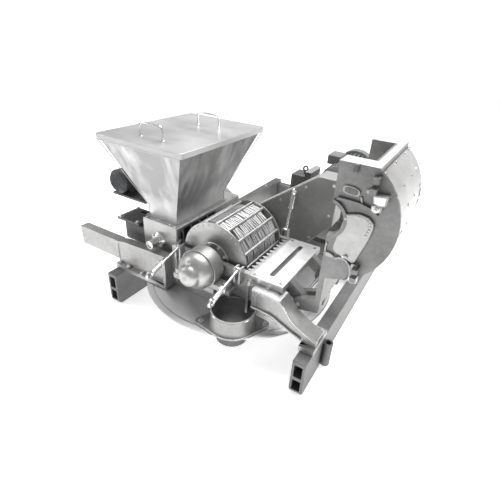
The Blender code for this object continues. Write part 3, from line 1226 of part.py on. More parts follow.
def sheave(name, centre, radius, bore, front):
    """Turned sheave with V grooves."""
    rear = front + SHEAVE_WIDTH
    land = SHEAVE_WIDTH / SHEAVE_GROOVES
    profile = [(bore, rear), (radius, rear)]
    for i in range(SHEAVE_GROOVES):
        top = rear - i * land
        profile += [(radius, top - land * 0.12), (radius - GROOVE_DEPTH, top - land * 0.36),
                    (radius - GROOVE_DEPTH, top - land * 0.64), (radius, top - land * 0.88)]
    profile += [(radius, front), (bore, front)]
    return turned(name, profile, centre, (0, 1, 0), 26)


def build_belt_drive():
    front = BELT_GUARD_FRONT_Y
    rear = front + BELT_GUARD_DEPTH
    guard = prism("belt_guard", guard_outline(0.0), front, rear)
    bevel(guard, 0.003, 1, 30)
    cut(guard, prism("guard_hollow", guard_outline(BELT_GUARD_SHEET), front + BELT_GUARD_SHEET,
                     rear - BELT_GUARD_SHEET))
    cut(guard, rod("guard_shaft_hole", (0, front - EPS, AXIS_Z), (0, front + 0.02, AXIS_Z),
                   SHAFT_RADIUS + 0.006, 32))
    cut(guard, rod("guard_motor_hole", (MOTOR_X, rear - 0.02, MOTOR_Z), (MOTOR_X, rear + EPS, MOTOR_Z),
                   MOTOR_SHAFT_RADIUS + 0.006, 32))
    node(guard, "belt_guard", STEEL, (0, front, AXIS_Z))

    post_front = rear + GAP
    cross_top = (RAIL_HEIGHT + CROSS_HEIGHT) / 2 + GAP
    ledge = PLATE_TOP + 0.005
    post = box("guard_post", (0.000, post_front, ledge), (0.100, post_front + 0.012, 0.520))
    fuse(post, box("guard_foot", (0.002, post_front + EPS, ledge + 0.001),
                   (0.098, CROSS_FRONT_Y + 0.060, ledge + 0.013)))
    fuse(post, box("guard_pad", (0.004, CROSS_FRONT_Y + 0.004, cross_top),
                   (0.096, CROSS_FRONT_Y + 0.058, ledge + 0.006)))
    node(post, "belt_guard_bracket", STEEL, (0.050, post_front, cross_top))

    rotor_spin = bpy.data.objects["rotor_axis"]
    wheel = sheave("sheave", (0, 0, AXIS_Z), ROTOR_SHEAVE_RADIUS, SHAFT_RADIUS + GAP, SHEAVE_FRONT_Y)
    node(wheel, "rotor_sheave", CAST, (0, SHEAVE_FRONT_Y, AXIS_Z), rotor_spin)
    motor_spin = pivot("motor_axis", (MOTOR_X, 0, MOTOR_Z))
    wheel = sheave("sheave", (MOTOR_X, 0, MOTOR_Z), MOTOR_SHEAVE_RADIUS, MOTOR_SHAFT_RADIUS + GAP,
                   SHEAVE_FRONT_Y)
    node(wheel, "motor_sheave", CAST, (MOTOR_X, SHEAVE_FRONT_Y, MOTOR_Z), motor_spin)
    shaft = rod("motor_shaft", (MOTOR_X, SHEAVE_FRONT_Y - 0.004, MOTOR_Z),
                (MOTOR_X, MOTOR_FRONT_Y + MOTOR_BELL, MOTOR_Z), MOTOR_SHAFT_RADIUS, 32)
    node(shaft, "main_motor_shaft", MACHINED, (MOTOR_X, SHEAVE_FRONT_Y, MOTOR_Z), motor_spin)

    first = (0.0, AXIS_Z)
    second = (MOTOR_X, MOTOR_Z)
    lift = 0.0008
    outer = belt_hull(first, ROTOR_SHEAVE_RADIUS + lift + BELT_THICK, second,
                      MOTOR_SHEAVE_RADIUS + lift + BELT_THICK, 16)
    inner = belt_hull(first, ROTOR_SHEAVE_RADIUS + lift, second, MOTOR_SHEAVE_RADIUS + lift, 16)
    middle = SHEAVE_FRONT_Y + SHEAVE_WIDTH / 2
    belts = prism("belts", outer, middle - BELT_WIDTH / 2, middle + BELT_WIDTH / 2)
    cut(belts, prism("belt_inside", inner, middle - BELT_WIDTH / 2 - EPS, middle + BELT_WIDTH / 2 + EPS))
    node(belts, "drive_belts", RUBBER, (0, middle, AXIS_Z))


# Main motor and its stand
def build_motor():
    centre = (MOTOR_X, 0, MOTOR_Z)
    frame_front = MOTOR_FRONT_Y + MOTOR_BELL + GAP
    frame_rear = MOTOR_REAR_Y - 0.085
    base_top = STAND_TOP_Z + GAP + BASE_PLATE
    frame = finned_frame("motor", centre, MOTOR_RADIUS, MOTOR_FIN_DEPTH, MOTOR_FINS, frame_front, frame_rear)
    for hand in (-1, 1):
        x = MOTOR_X + hand * 0.070
        fuse(frame, box("motor_foot", (min(x, x + hand * 0.070), frame_front + 0.03, base_top + GAP),
                        (max(x, x + hand * 0.070), frame_rear - 0.03, base_top + 0.024)))
        fuse(frame, box("motor_leg", (min(x, x + hand * 0.026), frame_front + 0.03, base_top + 0.010),
                        (max(x, x + hand * 0.026), frame_rear - 0.03, MOTOR_Z - 0.050)))
    node(frame, "main_motor_frame", PAINT, (MOTOR_X, frame_front, MOTOR_Z))
    bore = MOTOR_SHAFT_RADIUS + RUN_GAP
    radius = MOTOR_RADIUS - 0.004
    bell = turned("bell", [(bore, MOTOR_FRONT_Y + MOTOR_BELL), (radius, MOTOR_FRONT_Y + MOTOR_BELL),
                           (radius, MOTOR_FRONT_Y + 0.026),
                           (radius - 0.030, MOTOR_FRONT_Y + 0.008), (0.050, MOTOR_FRONT_Y + 0.006),
                           (0.042, MOTOR_FRONT_Y - 0.010), (bore, MOTOR_FRONT_Y - 0.010)],
                  centre, (0, 1, 0), ROUND)
    node(bell, "main_motor_end_bell", PAINT, (MOTOR_X, MOTOR_FRONT_Y, MOTOR_Z))
    start = frame_rear + GAP
    radius = MOTOR_COWL_RADIUS
    cowl = turned("fan_cowl", [(0.0, MOTOR_REAR_Y), (radius - 0.018, MOTOR_REAR_Y),
                               (radius, MOTOR_REAR_Y - 0.018), (radius, start), (0.0, start)],
                  centre, (0, 1, 0), ROUND)
    node(cowl, "main_motor_fan_cowl", PAINT, (MOTOR_X, start, MOTOR_Z))

    left = MOTOR_X - MOTOR_FOOT_SPREAD - 0.050
    right = MOTOR_X + MOTOR_FOOT_SPREAD + 0.020
    plate = box("motor_base", (left, MOTOR_FRONT_Y, STAND_TOP_Z + GAP),
                (right, MOTOR_REAR_Y - 0.02, base_top))
    bevel(plate, 0.003)
    node(plate, "motor_base_plate", STEEL, (left, MOTOR_FRONT_Y, STAND_TOP_Z))
    cross_top = (RAIL_HEIGHT + CROSS_HEIGHT) / 2 + GAP
    for name, y in (("front", CROSS_FRONT_Y), ("rear", CROSS_MIDDLE_Y)):
        trestle = box("trestle", (left + 0.010, y + 0.006, cross_top),
                      (right - 0.010, y + CROSS_WIDTH - 0.006, STAND_TOP_Z))
        window = rounded_rectangle(left + 0.090, cross_top + 0.080, right - 0.090, STAND_TOP_Z - 0.080,
                                   0.035)
        cut(trestle, prism("trestle_window", window, y - EPS, y + CROSS_WIDTH + EPS))
        node(trestle, "motor_trestle_" + name, CAST, (MOTOR_X, y, cross_top))
    block_x = 0.010
    block_y = MOTOR_FRONT_Y + 0.140
    block_top = STAND_TOP_Z + 0.120
    block_low = (block_x - 0.040, block_y, STAND_TOP_Z - 0.120)
    block = box("tension_block", block_low, (block_x + 0.070, block_y + 0.140, block_top))
    stem_low = (block_x - 0.020, block_y + 0.030, STAND_TOP_Z - 0.060)
    stem = box("tension_stem", stem_low, (left - GAP, block_y + 0.110, STAND_TOP_Z + 0.020))
    bevel(block, 0.008, 2)
    fuse(block, stem)
    stud_x = block_x + 0.035
    stud_y = block_y + 0.070
    stud_z = block_top - EPS
    ring = turned("tension_ring", ring_profile(0.016, 0.006, 8), (stud_x, stud_y, stud_z + 0.036), (0, 1, 0),
                  20)
    stud = rod("tension_stud", (stud_x, stud_y, stud_z), (stud_x, stud_y, stud_z + 0.022), 0.010, 16)
    bar_low = (block_x + 0.066, block_y - 0.010, block_top - 0.025)
    bar = box("slide_bar", bar_low, (block_x + 0.110, block_y + 0.160, block_top + 0.035))
    fuse(block, stud, ring, bar)
    node(block, "motor_tension_block", STEEL, (block_x, block_y, STAND_TOP_Z))


def build_base():
    make_rail("rail_left", -RAIL_CENTRE_X)
    make_rail("rail_right", RAIL_CENTRE_X)
    make_crossmember("crossmember_front", CROSS_FRONT_Y, CROSS_FRONT_Y + CROSS_WIDTH)
    make_crossmember("crossmember_middle", CROSS_MIDDLE_Y, CROSS_MIDDLE_Y + CROSS_WIDTH)
    make_crossmember("crossmember_rear", RAIL_LENGTH - 0.072, RAIL_LENGTH - 0.004)
    make_socket()
    make_bin_plate()
    make_spout()


def build_mill():
    make_lower_housing()
    front = MILL_FRONT_Y + END_WALL + GAP
    rear = MILL_REAR_Y - END_WALL - GAP
    outer = LINER_SEAT
    node(make_liner("liner", -38, 3, 7, front, rear, outer, CAST), "liner_right", CAST, (0, front, AXIS_Z))
    node(make_liner("liner", 190, 218, 5, front, rear, outer, CAST), "liner_left", CAST, (0, front, AXIS_Z))
    node(make_screen(front, rear), "retaining_screen", STAINLESS, (0, front, AXIS_Z))
    reach = HINGE_KNUCKLE / 2 + 0.036
    pin = rod("hinge_pin", (HINGE_X, HINGE_FRONT_Y - reach, HINGE_Z),
              (HINGE_X, HINGE_REAR_Y + reach, HINGE_Z), HINGE_PIN_RADIUS, 24)
    node(pin, "cover_hinge_pin", MACHINED, (HINGE_X, HINGE_FRONT_Y, HINGE_Z))


def build_swing_bolts():
    droop = 90.0 + FRONT_BOLT_DROOP
    build_swing_bolt("swing_bolt_front_left", -1, MILL_FRONT_Y, -1, droop)
    build_swing_bolt("swing_bolt_front_right", 1, MILL_FRONT_Y, -1, droop)
    build_swing_bolt("swing_bolt_rear_left", -1, MILL_REAR_Y, 1, droop)
    build_swing_bolt("swing_bolt_rear_right", 1, MILL_REAR_Y, 1, LEAN_BOLT_ANGLE)


build_base()
build_mill()
build_rotor()
build_bearings()
build_arms()
build_cover()
build_swing_bolts()
build_feeder()
build_hopper()
build_feeder_drive()
build_belt_drive()
build_motor()
bpy.context.view_layer.update()
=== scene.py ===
"""Dresses the sugar pulverizer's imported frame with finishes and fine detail, as it stands in the photograph.

Sizes are metres.  Pieces are placed in machine axes, where X is zero on the rotor axis and Y is
zero at the front ends of the rails, and at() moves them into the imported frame.
"""

import math
import random

import bmesh
import bpy
from mathutils import Matrix, Vector


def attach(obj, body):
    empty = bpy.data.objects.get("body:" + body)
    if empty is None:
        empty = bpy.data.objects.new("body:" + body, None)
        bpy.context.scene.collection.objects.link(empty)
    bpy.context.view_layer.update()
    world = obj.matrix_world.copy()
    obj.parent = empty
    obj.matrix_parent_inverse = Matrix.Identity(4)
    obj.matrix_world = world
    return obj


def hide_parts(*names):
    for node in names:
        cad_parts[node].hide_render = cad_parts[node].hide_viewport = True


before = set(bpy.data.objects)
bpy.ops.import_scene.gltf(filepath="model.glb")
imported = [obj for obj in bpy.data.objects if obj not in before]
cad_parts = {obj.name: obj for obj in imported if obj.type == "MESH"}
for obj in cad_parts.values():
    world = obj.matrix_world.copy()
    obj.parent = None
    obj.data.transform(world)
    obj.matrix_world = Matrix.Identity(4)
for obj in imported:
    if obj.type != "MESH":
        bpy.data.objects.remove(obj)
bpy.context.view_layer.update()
random.seed(7)

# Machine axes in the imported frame
FRAME_SHIFT = Vector((0.058, -1.019, 0.0))

# Places that the CAD part sets, in machine axes
AXIS_Z = 0.460
ROTOR_FRONT = 0.186
ROTOR_REAR = 0.566
DISC_THICK = 0.012
ROD_COUNT = 16
HAMMER_RINGS = 6
MILL_FRONT = 0.140
FLANGE_FACE = 0.4740
COVER_X, COVER_Z = 0.575, 0.885
WALL_Y = 0.140
PAD_Y = 0.130
PORT_FACE = 1.12106
SPOUT_X, SPOUT_Y = 0.213, 0.052
PLATE_Y = 0.463
RAIL_TOP = 0.2403
SCREW_X, SCREW_Z = -0.375, 0.450
TROUGH_RIM = 0.552
NECK = (-0.496, -0.290, 0.235, 0.690)
FAN_X, FAN_Z = -0.720, 0.702
GUARD_FACE = 0.7318
MOTOR_X, MOTOR_Z = 0.330, 0.705

# How far a fixing sinks into the face that it stands on
BITE = 0.001


def at(x, y, z):
    """A point in machine axes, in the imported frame."""
    return Vector((x, y, z)) + FRAME_SHIFT


# Shader maths
class Shade:
    """A shader socket that takes part in Python expressions."""

    def __init__(self, finish, socket):
        self.finish = finish
        self.socket = socket

    def maths(self, operation, *values):
        return self.finish.node("ShaderNodeMath", {"operation": operation}, dict(enumerate(values)))

    def __add__(self, other):
        return self.maths("ADD", self, other)

    def __sub__(self, other):
        return self.maths("SUBTRACT", self, other)

    def __mul__(self, other):
        return self.maths("MULTIPLY", self, other)

    def __truediv__(self, other):
        return self.maths("DIVIDE", self, other)

    __radd__ = __add__
    __rmul__ = __mul__

    def __rsub__(self, other):
        return self.maths("SUBTRACT", other, self)

    def clamped(self):
        return self.maths("MAXIMUM", self.maths("MINIMUM", self, 1.0), 0.0)

    def over(self, edge, softness):
        """0 below an edge and 1 above it, with a soft step."""
        return ((self - edge) / softness + 0.5).clamped()


class Finish:
    """A procedural surface finish built round one Principled shader."""

    def __init__(self, name, roughness=0.5, metallic=0.0, **constants):
        self.material = bpy.data.materials.new(name)
        self.material.use_nodes = True
        self.tree = self.material.node_tree
        self.shader = self.tree.nodes["Principled BSDF"]
        self.shader.inputs["Roughness"].default_value = roughness
        self.shader.inputs["Metallic"].default_value = metallic
        for socket, value in constants.items():
            self.shader.inputs[socket.replace("_", " ").title()].default_value = value

    def node(self, kind, settings=None, inputs=None, output=0):
        made = self.tree.nodes.new(kind)
        for key, value in (settings or {}).items():
            if key == "stops":
                ramp = made.color_ramp
                while len(ramp.elements) < len(value):
                    ramp.elements.new(0.5)
                for element, (place, colour) in zip(ramp.elements, value):
                    element.position = place
                    element.color = (*colour, 1.0)
            else:
                setattr(made, key, value)
        for key, value in (inputs or {}).items():
            if isinstance(value, Shade):
                self.tree.links.new(value.socket, made.inputs[key])
            else:
                made.inputs[key].default_value = value
        return Shade(self, made.outputs[output])

    def feed(self, socket, value):
        self.tree.links.new(value.socket, self.shader.inputs[socket])

    def place(self, scale=(1.0, 1.0, 1.0), turn=(0.0, 0.0, 0.0)):
        """The piece's own coordinates in metres, stretched to give a texture a direction."""
        spot = self.node("ShaderNodeTexCoord", output="Object")
        return self.node("ShaderNodeMapping", None, {"Vector": spot, "Scale": scale, "Rotation": turn})

    def noise(self, scale, detail=3.0, roughness=0.55, stretch=(1.0, 1.0, 1.0), turn=(0.0, 0.0, 0.0),
              distortion=0.0):
        inputs = {"Vector": self.place(stretch, turn), "Scale": scale, "Detail": detail,
                  "Roughness": roughness, "Distortion": distortion}
        return self.node("ShaderNodeTexNoise", None, inputs, "Fac")

    def ramp(self, factor, stops):
        return self.node("ShaderNodeValToRGB", {"stops": stops}, {"Fac": factor}, "Color")

    def blend(self, factor, first, second):
        """Mixes two colours. The Mix node holds them in sockets 6 and 7 and gives the result in 2."""
        colours = {}
        for key, colour in ((6, first), (7, second)):
            colours[key] = colour if isinstance(colour, Shade) else (*colour, 1.0)
        return self.node("ShaderNodeMix", {"data_type": 'RGBA'}, {"Factor": factor, **colours}, 2)

    def bump(self, height, distance, strength=1.0):
        inputs = {"Height": height, "Distance": distance, "Strength": strength}
        return self.node("ShaderNodeBump", None, inputs, "Normal")


def grey(value, warmth=0.0):
    """A neutral colour, or a slightly warm one."""
    return (value * (1 + warmth), value, value * (1 - warmth))


def casting(name, light, dark, roughness, metallic, grain=0.0004):
    """Blasted casting: fine grain, soft cloudy stains and a few dark specks."""
    f = Finish(name, roughness, metallic)
    clouds = f.noise(7.0, 5.0, 0.6)
    grit = f.noise(420.0, 3.0, 0.7)
    skin = f.noise(60.0, 4.0, 0.6)
    stain = (clouds * 0.7 + skin * 0.3).over(0.5, 0.35)
    tone = f.blend(stain, grey(dark, 0.015), grey(light))
    specks = f.noise(190.0, 2.0, 0.5).over(0.66, 0.06)
    f.feed("Base Color", f.blend(specks * 0.35, tone, grey(dark * 0.55)))
    f.feed("Roughness", (roughness + (clouds - 0.5) * 0.25 + (grit - 0.5) * 0.18).clamped())
    f.feed("Normal", f.bump(grit * 0.55 + skin * 0.45, grain, 0.9))
    return f


def machined(name, light, roughness, direction=(1.0, 40.0, 40.0), metallic=0.9):
    """Milled or turned steel: fine parallel tool marks with a few dull patches."""
    f = Finish(name, roughness, metallic)
    lines = f.noise(14.0, 4.0, 0.7, direction)
    patches = f.noise(16.0, 4.0, 0.6)
    f.feed("Base Color", f.blend(patches.over(0.52, 0.4), grey(light * 0.86), grey(light)))
    f.feed("Roughness", (roughness + (lines - 0.5) * 0.22 + (patches - 0.5) * 0.12).clamped())
    f.feed("Normal", f.bump(lines, 0.00012, 0.7))
    return f


def brushed(name, light, roughness, direction, turn=(0.0, 0.0, 0.0), metallic=0.85):
    """Brushed stainless sheet with long hairlines, handling marks and soft cloudy patches of painted sheen."""
    f = Finish(name, roughness, metallic)
    hair = f.noise(22.0, 5.0, 0.75, direction, turn)
    # Soft cloudy painted sheen, which also varies the roughness
    painted_sheen_bands = f.noise(3.2, 3.0, 0.5, tuple(1.0 + (c - 1.0) * 0.10 for c in direction), turn)
    smears = f.noise(5.0, 5.0, 0.65)
    stops = [(0.30, grey(light * 0.78)), (0.5, grey(light * 0.93)), (0.70, grey(light))]
    f.feed("Base Color", f.ramp(hair * 0.35 + painted_sheen_bands * 0.45 + smears * 0.2, stops))
    wear = (painted_sheen_bands - 0.5) * 0.22
    f.feed("Roughness", (roughness + wear + (hair - 0.5) * 0.15 + (smears - 0.5) * 0.10).clamped())
    f.feed("Normal", f.bump(hair, 0.00018, 0.6))
    return f


def painted_reflection_sheet(name, light, dark, roughness):
    """Hopper sheet: broad upright streaking of painted reflection over fine brushing, and a painted reflection
    that leaves it palest near the foot.
    """
    f = Finish(name, roughness, 0.80)
    hair = f.noise(22.0, 5.0, 0.75, (14.0, 14.0, 0.5))
    # Broad upright streaking of painted reflection, mixed with smears below
    reflection_streaks = f.noise(3.4, 3.0, 0.55, (2.4, 2.4, 0.28), distortion=0.6)
    smears = f.noise(2.6, 5.0, 0.6, distortion=0.8)
    spot = f.node("ShaderNodeTexCoord", output="Generated")
    height = f.node("ShaderNodeSeparateXYZ", None, {"Vector": spot}, "Z")
    # Painted reflection: the sheet grows paler towards its foot
    foot = (1.0 - height).over(0.80, 0.30)
    tone = (reflection_streaks * 0.62 + smears * 0.38).over(0.50, 0.16)
    sheet = f.blend(tone, grey(dark), grey(light))
    f.feed("Base Color", f.blend(foot * 0.65, sheet, grey(0.94)))
    f.feed("Roughness", (roughness + (hair - 0.5) * 0.20 + (smears - 0.5) * 0.12).clamped())
    f.feed("Normal", f.bump(hair * 0.7 + smears * 0.3, 0.0003, 0.7))
    return f


def paint(name, colour, roughness):
    """Sprayed enamel with slight orange peel and pale dust in soft patches."""
    f = Finish(name, roughness, 0.0, coat_weight=0.15, coat_roughness=0.35)
    peel = f.noise(260.0, 2.0, 0.5)
    dust = f.noise(9.0, 6.0, 0.65)
    pale = tuple(min(1.0, c * 1.5 + 0.05) for c in colour)
    f.feed("Base Color", f.blend(dust.over(0.58, 0.3) * 0.5, colour, pale))
    f.feed("Roughness", (roughness + (dust - 0.5) * 0.3).clamped())
    f.feed("Normal", f.bump(peel, 0.0002, 0.5))
    return f


def rubber(name):
    """Dusty black belt."""
    f = Finish(name, 0.75, 0.0)
    dust = f.noise(30.0, 4.0, 0.6)
    f.feed("Base Color", f.blend(dust, (0.012, 0.012, 0.013), (0.05, 0.05, 0.048)))
    f.feed("Normal", f.bump(f.noise(300.0), 0.0003, 0.6))
    return f


CAST = casting("shot_blasted_casting", 0.60, 0.40, 0.42, 0.75)
# A darker, rougher copy of the casting: painted shade for the parts set in shadow, such as the liners inside
# the mill
CAST_SHADE = casting("rough_casting_painted_shade", 0.30, 0.17, 0.50, 0.65, 0.0006)
SPOUT = casting("spout_casting", 0.52, 0.34, 0.40, 0.7, 0.0003)
# A darker copy of the casting for the cover: painted shade on its front wall, which faces away from the lamps
COVER_WALL_SHADED = casting("cover_wall_painted_shade", 0.37, 0.22, 0.46, 0.7)
# A darker copy of the casting for the rails: painted shade, as their front ends stand in shade
RAIL_SHADED = casting("rail_casting_painted_shade", 0.30, 0.19, 0.46, 0.6)
# Machined steel, also painted highlights along the right arm's edges
MACHINED_AND_ARM_HIGHLIGHT = machined("machined_flange_and_arm_highlight", 0.88, 0.24)
TURNED = machined("turned_steel", 0.84, 0.22, (40.0, 1.0, 40.0))
BLASTED = casting("blasted_steel", 0.66, 0.50, 0.40, 0.85, 0.0002)
BOLT = machined("bright_bolts", 0.80, 0.28, (8.0, 8.0, 8.0))
SHEET = brushed("brushed_hopper", 0.60, 0.36, (14.0, 14.0, 0.5))
HOPPER_SHEET = painted_reflection_sheet("hopper_painted_reflections", 0.66, 0.38, 0.36)
LID = brushed("brushed_lid", 0.68, 0.38, (0.5, 14.0, 14.0), metallic=0.7)
PLATE = brushed("polished_plate", 0.82, 0.38, (0.7, 9.0, 9.0), (0.0, 0.0, 0.5), 0.66)
GUARD = paint("guard_enamel", (0.31, 0.315, 0.305), 0.40)
MOTOR = paint("motor_enamel", (0.085, 0.090, 0.092), 0.42)
MAIN_MOTOR = paint("main_motor_enamel", (0.22, 0.225, 0.225), 0.42)
BLACK = paint("blackened_steel", (0.13, 0.133, 0.13), 0.46)
BELT = rubber("belt_rubber")
# Dark casting for the rotor's inner drum, and painted shade in the flange screws' socket recesses
DARK_CORE_AND_SOCKET_SHADE = casting("dark_core_and_socket_shade", 0.34, 0.18, 0.5, 0.6)
HAMMER = machined("worn_hammers", 0.88, 0.42, (30.0, 1.0, 30.0), 0.7)
# Fresh milled faces, and a painted highlight along the screw's flight
WHITE_FACE_AND_FLIGHT_HIGHLIGHT = machined("fresh_milled_face_and_flight_highlight", 0.90, 0.38, (40.0, 1.0, 40.0), 0.6)
# A dark lining for the spout's throat: painted shade inside the spout
THROAT_SHADE = casting("spout_throat_painted_shade", 0.26, 0.13, 0.5, 0.35, 0.0003)
CAST_PLATE = casting("raised_casting", 0.66, 0.50, 0.42, 0.55, 0.0007)
# A lighter copy of the casting: painted light on the cover's shell
COVER_SHELL_LIT = casting("shell_casting_painted_light", 0.66, 0.54, 0.42, 0.5, 0.0002)
# Polished steel for the spout's lip, and a painted highlight along the spout flange's edge
POLISH_AND_EDGE_HIGHLIGHT = machined("polished_lip_and_edge_highlight", 0.90, 0.18, (4.0, 4.0, 4.0))
PALE_SHEET = brushed("pale_sheet", 0.86, 0.30, (0.6, 10.0, 10.0))

CORNERS = ("front_left", "front_right", "rear_left", "rear_right")
SWING_BOLTS = tuple("swing_bolt_" + corner for corner in CORNERS)
FINISHES = {
    COVER_WALL_SHADED: ("mill_cover",),
    CAST: ("front_bearing_housing", "rear_bearing_housing", "front_bearing_cap", "left_arm", "right_arm",
           "lower_housing"),
    CAST_SHADE: ("liner_left", "liner_right", "cover_liner", "feeder_gearcase", "motor_trestle_front",
                 "motor_trestle_rear", "rotor_sheave", "motor_sheave", "hammer_drum", "drive_table"),
    RAIL_SHADED: ("rail_left", "rail_right", "crossmember_front", "crossmember_middle", "crossmember_rear",
           "rail_socket"),
    MACHINED_AND_ARM_HIGHLIGHT: ("feed_screw_bearing",),
    BLASTED: ("rotor_disc_front", "rotor_rod_cage", "feeder_trough"),
    TURNED: ("feed_screw", "rotor_shaft", "cover_hinge_pin", "feeder_drive_shaft", "main_motor_shaft",
             "lid_handle_front", "lid_handle_rear", *SWING_BOLTS,
             *(bolt + "_eye_nut" for bolt in SWING_BOLTS)),
    HOPPER_SHEET: ("hopper",),
    LID: ("hopper_lid",),
    PLATE: ("bin_plate", "retaining_screen"),
    SPOUT: ("dust_spout",),
    GUARD: ("belt_guard", "belt_guard_bracket", "feeder_chain_guard"),
    MOTOR: ("feeder_gearmotor", "feeder_motor_cowl"),
    MAIN_MOTOR: ("main_motor_frame", "main_motor_end_bell", "main_motor_fan_cowl"),
    BLACK: ("feeder_motor_bracket", "motor_base_plate", "motor_tension_block"),
    BELT: ("drive_belts",),
}
for finish, names in FINISHES.items():
    for name in names:
        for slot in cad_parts[name].material_slots:
            slot.material = finish.material


# Making pieces
def rounding(piece, width, segments, degrees):
    """A modifier that rounds the edges sharper than an angle."""
    step = piece.modifiers.new("edges", 'BEVEL')
    step.width = width
    step.segments = segments
    step.limit_method = 'ANGLE'
    step.angle_limit = math.radians(degrees)
    step.harden_normals = True


def make(name, bm, finish, body, bevel=0.0, segments=2):
    """Turns drawn faces into a piece of the object that rides on a body."""
    bmesh.ops.recalc_face_normals(bm, faces=bm.faces)
    mesh = bpy.data.meshes.new(name)
    bm.to_mesh(mesh)
    bm.free()
    piece = bpy.data.objects.new(name, mesh)
    bpy.context.scene.collection.objects.link(piece)
    mesh.materials.append(finish.material)
    mesh.shade_smooth()
    mesh.set_sharp_from_angle(angle=math.radians(35.0))
    if bevel:
        rounding(piece, bevel, segments, 30)
    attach(piece, body)
    return piece


def towards(direction):
    """Turns +Z to a direction."""
    return Vector((0, 0, 1)).rotation_difference(Vector(direction)).to_matrix().to_4x4()


def stub(bm, foot, direction, radius, length, segments=16, tip=None, spin=0.0):
    """A cylinder or cone that stands on a point."""
    direction = Vector(direction).normalized()
    middle = Vector(foot) + direction * (length / 2)
    place = Matrix.Translation(middle) @ towards(direction) @ Matrix.Rotation(spin, 4, 'Z')
    bmesh.ops.create_cone(bm, cap_ends=True, segments=segments, radius1=radius,
                          radius2=radius if tip is None else tip, depth=length, matrix=place)


def hex_bolt(bm, foot, direction, across):
    """Washer, and hexagon head with a turned top."""
    direction = Vector(direction).normalized()
    foot = Vector(foot) - direction * BITE
    stub(bm, foot, direction, across * 0.98, 0.0030, 20)
    head = foot + direction * 0.0028
    stub(bm, head, direction, across * 0.66355, across * 0.50, 6, spin=random.uniform(0.0, 1.0))
    stub(bm, head + direction * across * 0.49, direction, across * 0.54, across * 0.12, 18, tip=across * 0.42)


def round_bolt(bm, foot, direction, radius):
    """Low round head, such as a rivet or button screw."""
    direction = Vector(direction).normalized()
    foot = Vector(foot) - direction * 0.0008
    stub(bm, foot, direction, radius, radius * 0.45, 16, tip=radius * 0.92)
    stub(bm, foot + direction * radius * 0.44, direction, radius * 0.92, radius * 0.28, 16, tip=radius * 0.45)


def stud(bm, foot, direction, radius, length):
    """Threaded stud with a washer and a nut run down it."""
    direction = Vector(direction).normalized()
    pitch = 0.0022
    foot = Vector(foot) - direction * BITE
    stub(bm, foot, direction, radius * 2.1, 0.003, 20)
    stub(bm, foot + direction * 0.0028, direction, radius * 1.85, radius * 1.7, 6, spin=random.uniform(0, 1))
    for i in range(int(length / pitch)):
        grow = 1.0 if i % 2 else 0.86
        stub(bm, foot + direction * (i * pitch), direction, radius * grow, 0.0023, 12)


def slab(bm, outline, push):
    """A flat outline pushed along a vector into a closed plate."""
    corners = [bm.verts.new(point) for point in outline]
    face = bm.faces.new(corners)
    grown = bmesh.ops.extrude_face_region(bm, geom=[face])
    moved = [item for item in grown["geom"] if isinstance(item, bmesh.types.BMVert)]
    bmesh.ops.translate(bm, verts=moved, vec=push)


def brick(bm, place, size):
    """A block of a size, centred where a matrix puts it."""
    bmesh.ops.create_cube(bm, size=1.0, matrix=place @ Matrix.Diagonal((*size, 1.0)))


def block(bm, low, high):
    """A block between two opposite corners."""
    low = Vector(low)
    high = Vector(high)
    brick(bm, Matrix.Translation((low + high) / 2), high - low)


def lathe(bm, profile, centre, direction, segments=48):
    """Turns (radius, distance) pairs about an axis through a centre."""
    turn = Matrix.Translation(centre) @ towards(direction)
    verts = [bm.verts.new(turn @ Vector((radius, 0.0, height))) for radius, height in profile]
    edges = [bm.edges.new((a, b)) for a, b in zip(verts, verts[1:])]
    bmesh.ops.spin(bm, geom=verts + edges, cent=centre, axis=Vector(direction).normalized(),
                   angle=2 * math.pi,
                   steps=segments, use_merge=True)
    bmesh.ops.remove_doubles(bm, verts=bm.verts, dist=0.00002)


def rope(name, points, radius, finish, body, closed=False):
    """A round bead or wire along a line of points."""
    curve = bpy.data.curves.new(name, 'CURVE')
    curve.dimensions = '3D'
    curve.bevel_depth = radius
    curve.bevel_resolution = 3
    curve.use_fill_caps = True
    spline = curve.splines.new('POLY')
    spline.points.add(len(points) - 1)
    for point, place in zip(spline.points, points):
        point.co = (*place, 1.0)
    spline.use_cyclic_u = closed
    curve.materials.append(finish.material)
    piece = bpy.data.objects.new(name, curve)
    bpy.context.scene.collection.objects.link(piece)
    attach(piece, body)


def flowing(points, steps=6):
    """A smooth line through the given points."""
    line = [points[0] * 2 - points[1]] + list(points) + [points[-1] * 2 - points[-2]]
    out = []
    for p0, p1, p2, p3 in zip(line, line[1:], line[2:], line[3:]):
        for k in range(steps):
            t = k / steps
            out.append(0.5 * (p1 * 2 + (p2 - p0) * t + (p0 * 2 - p1 * 5 + p2 * 4 - p3) * t * t
                              + (p1 * 3 - p0 - p2 * 3 + p3) * t ** 3))
    return out + [points[-1]]


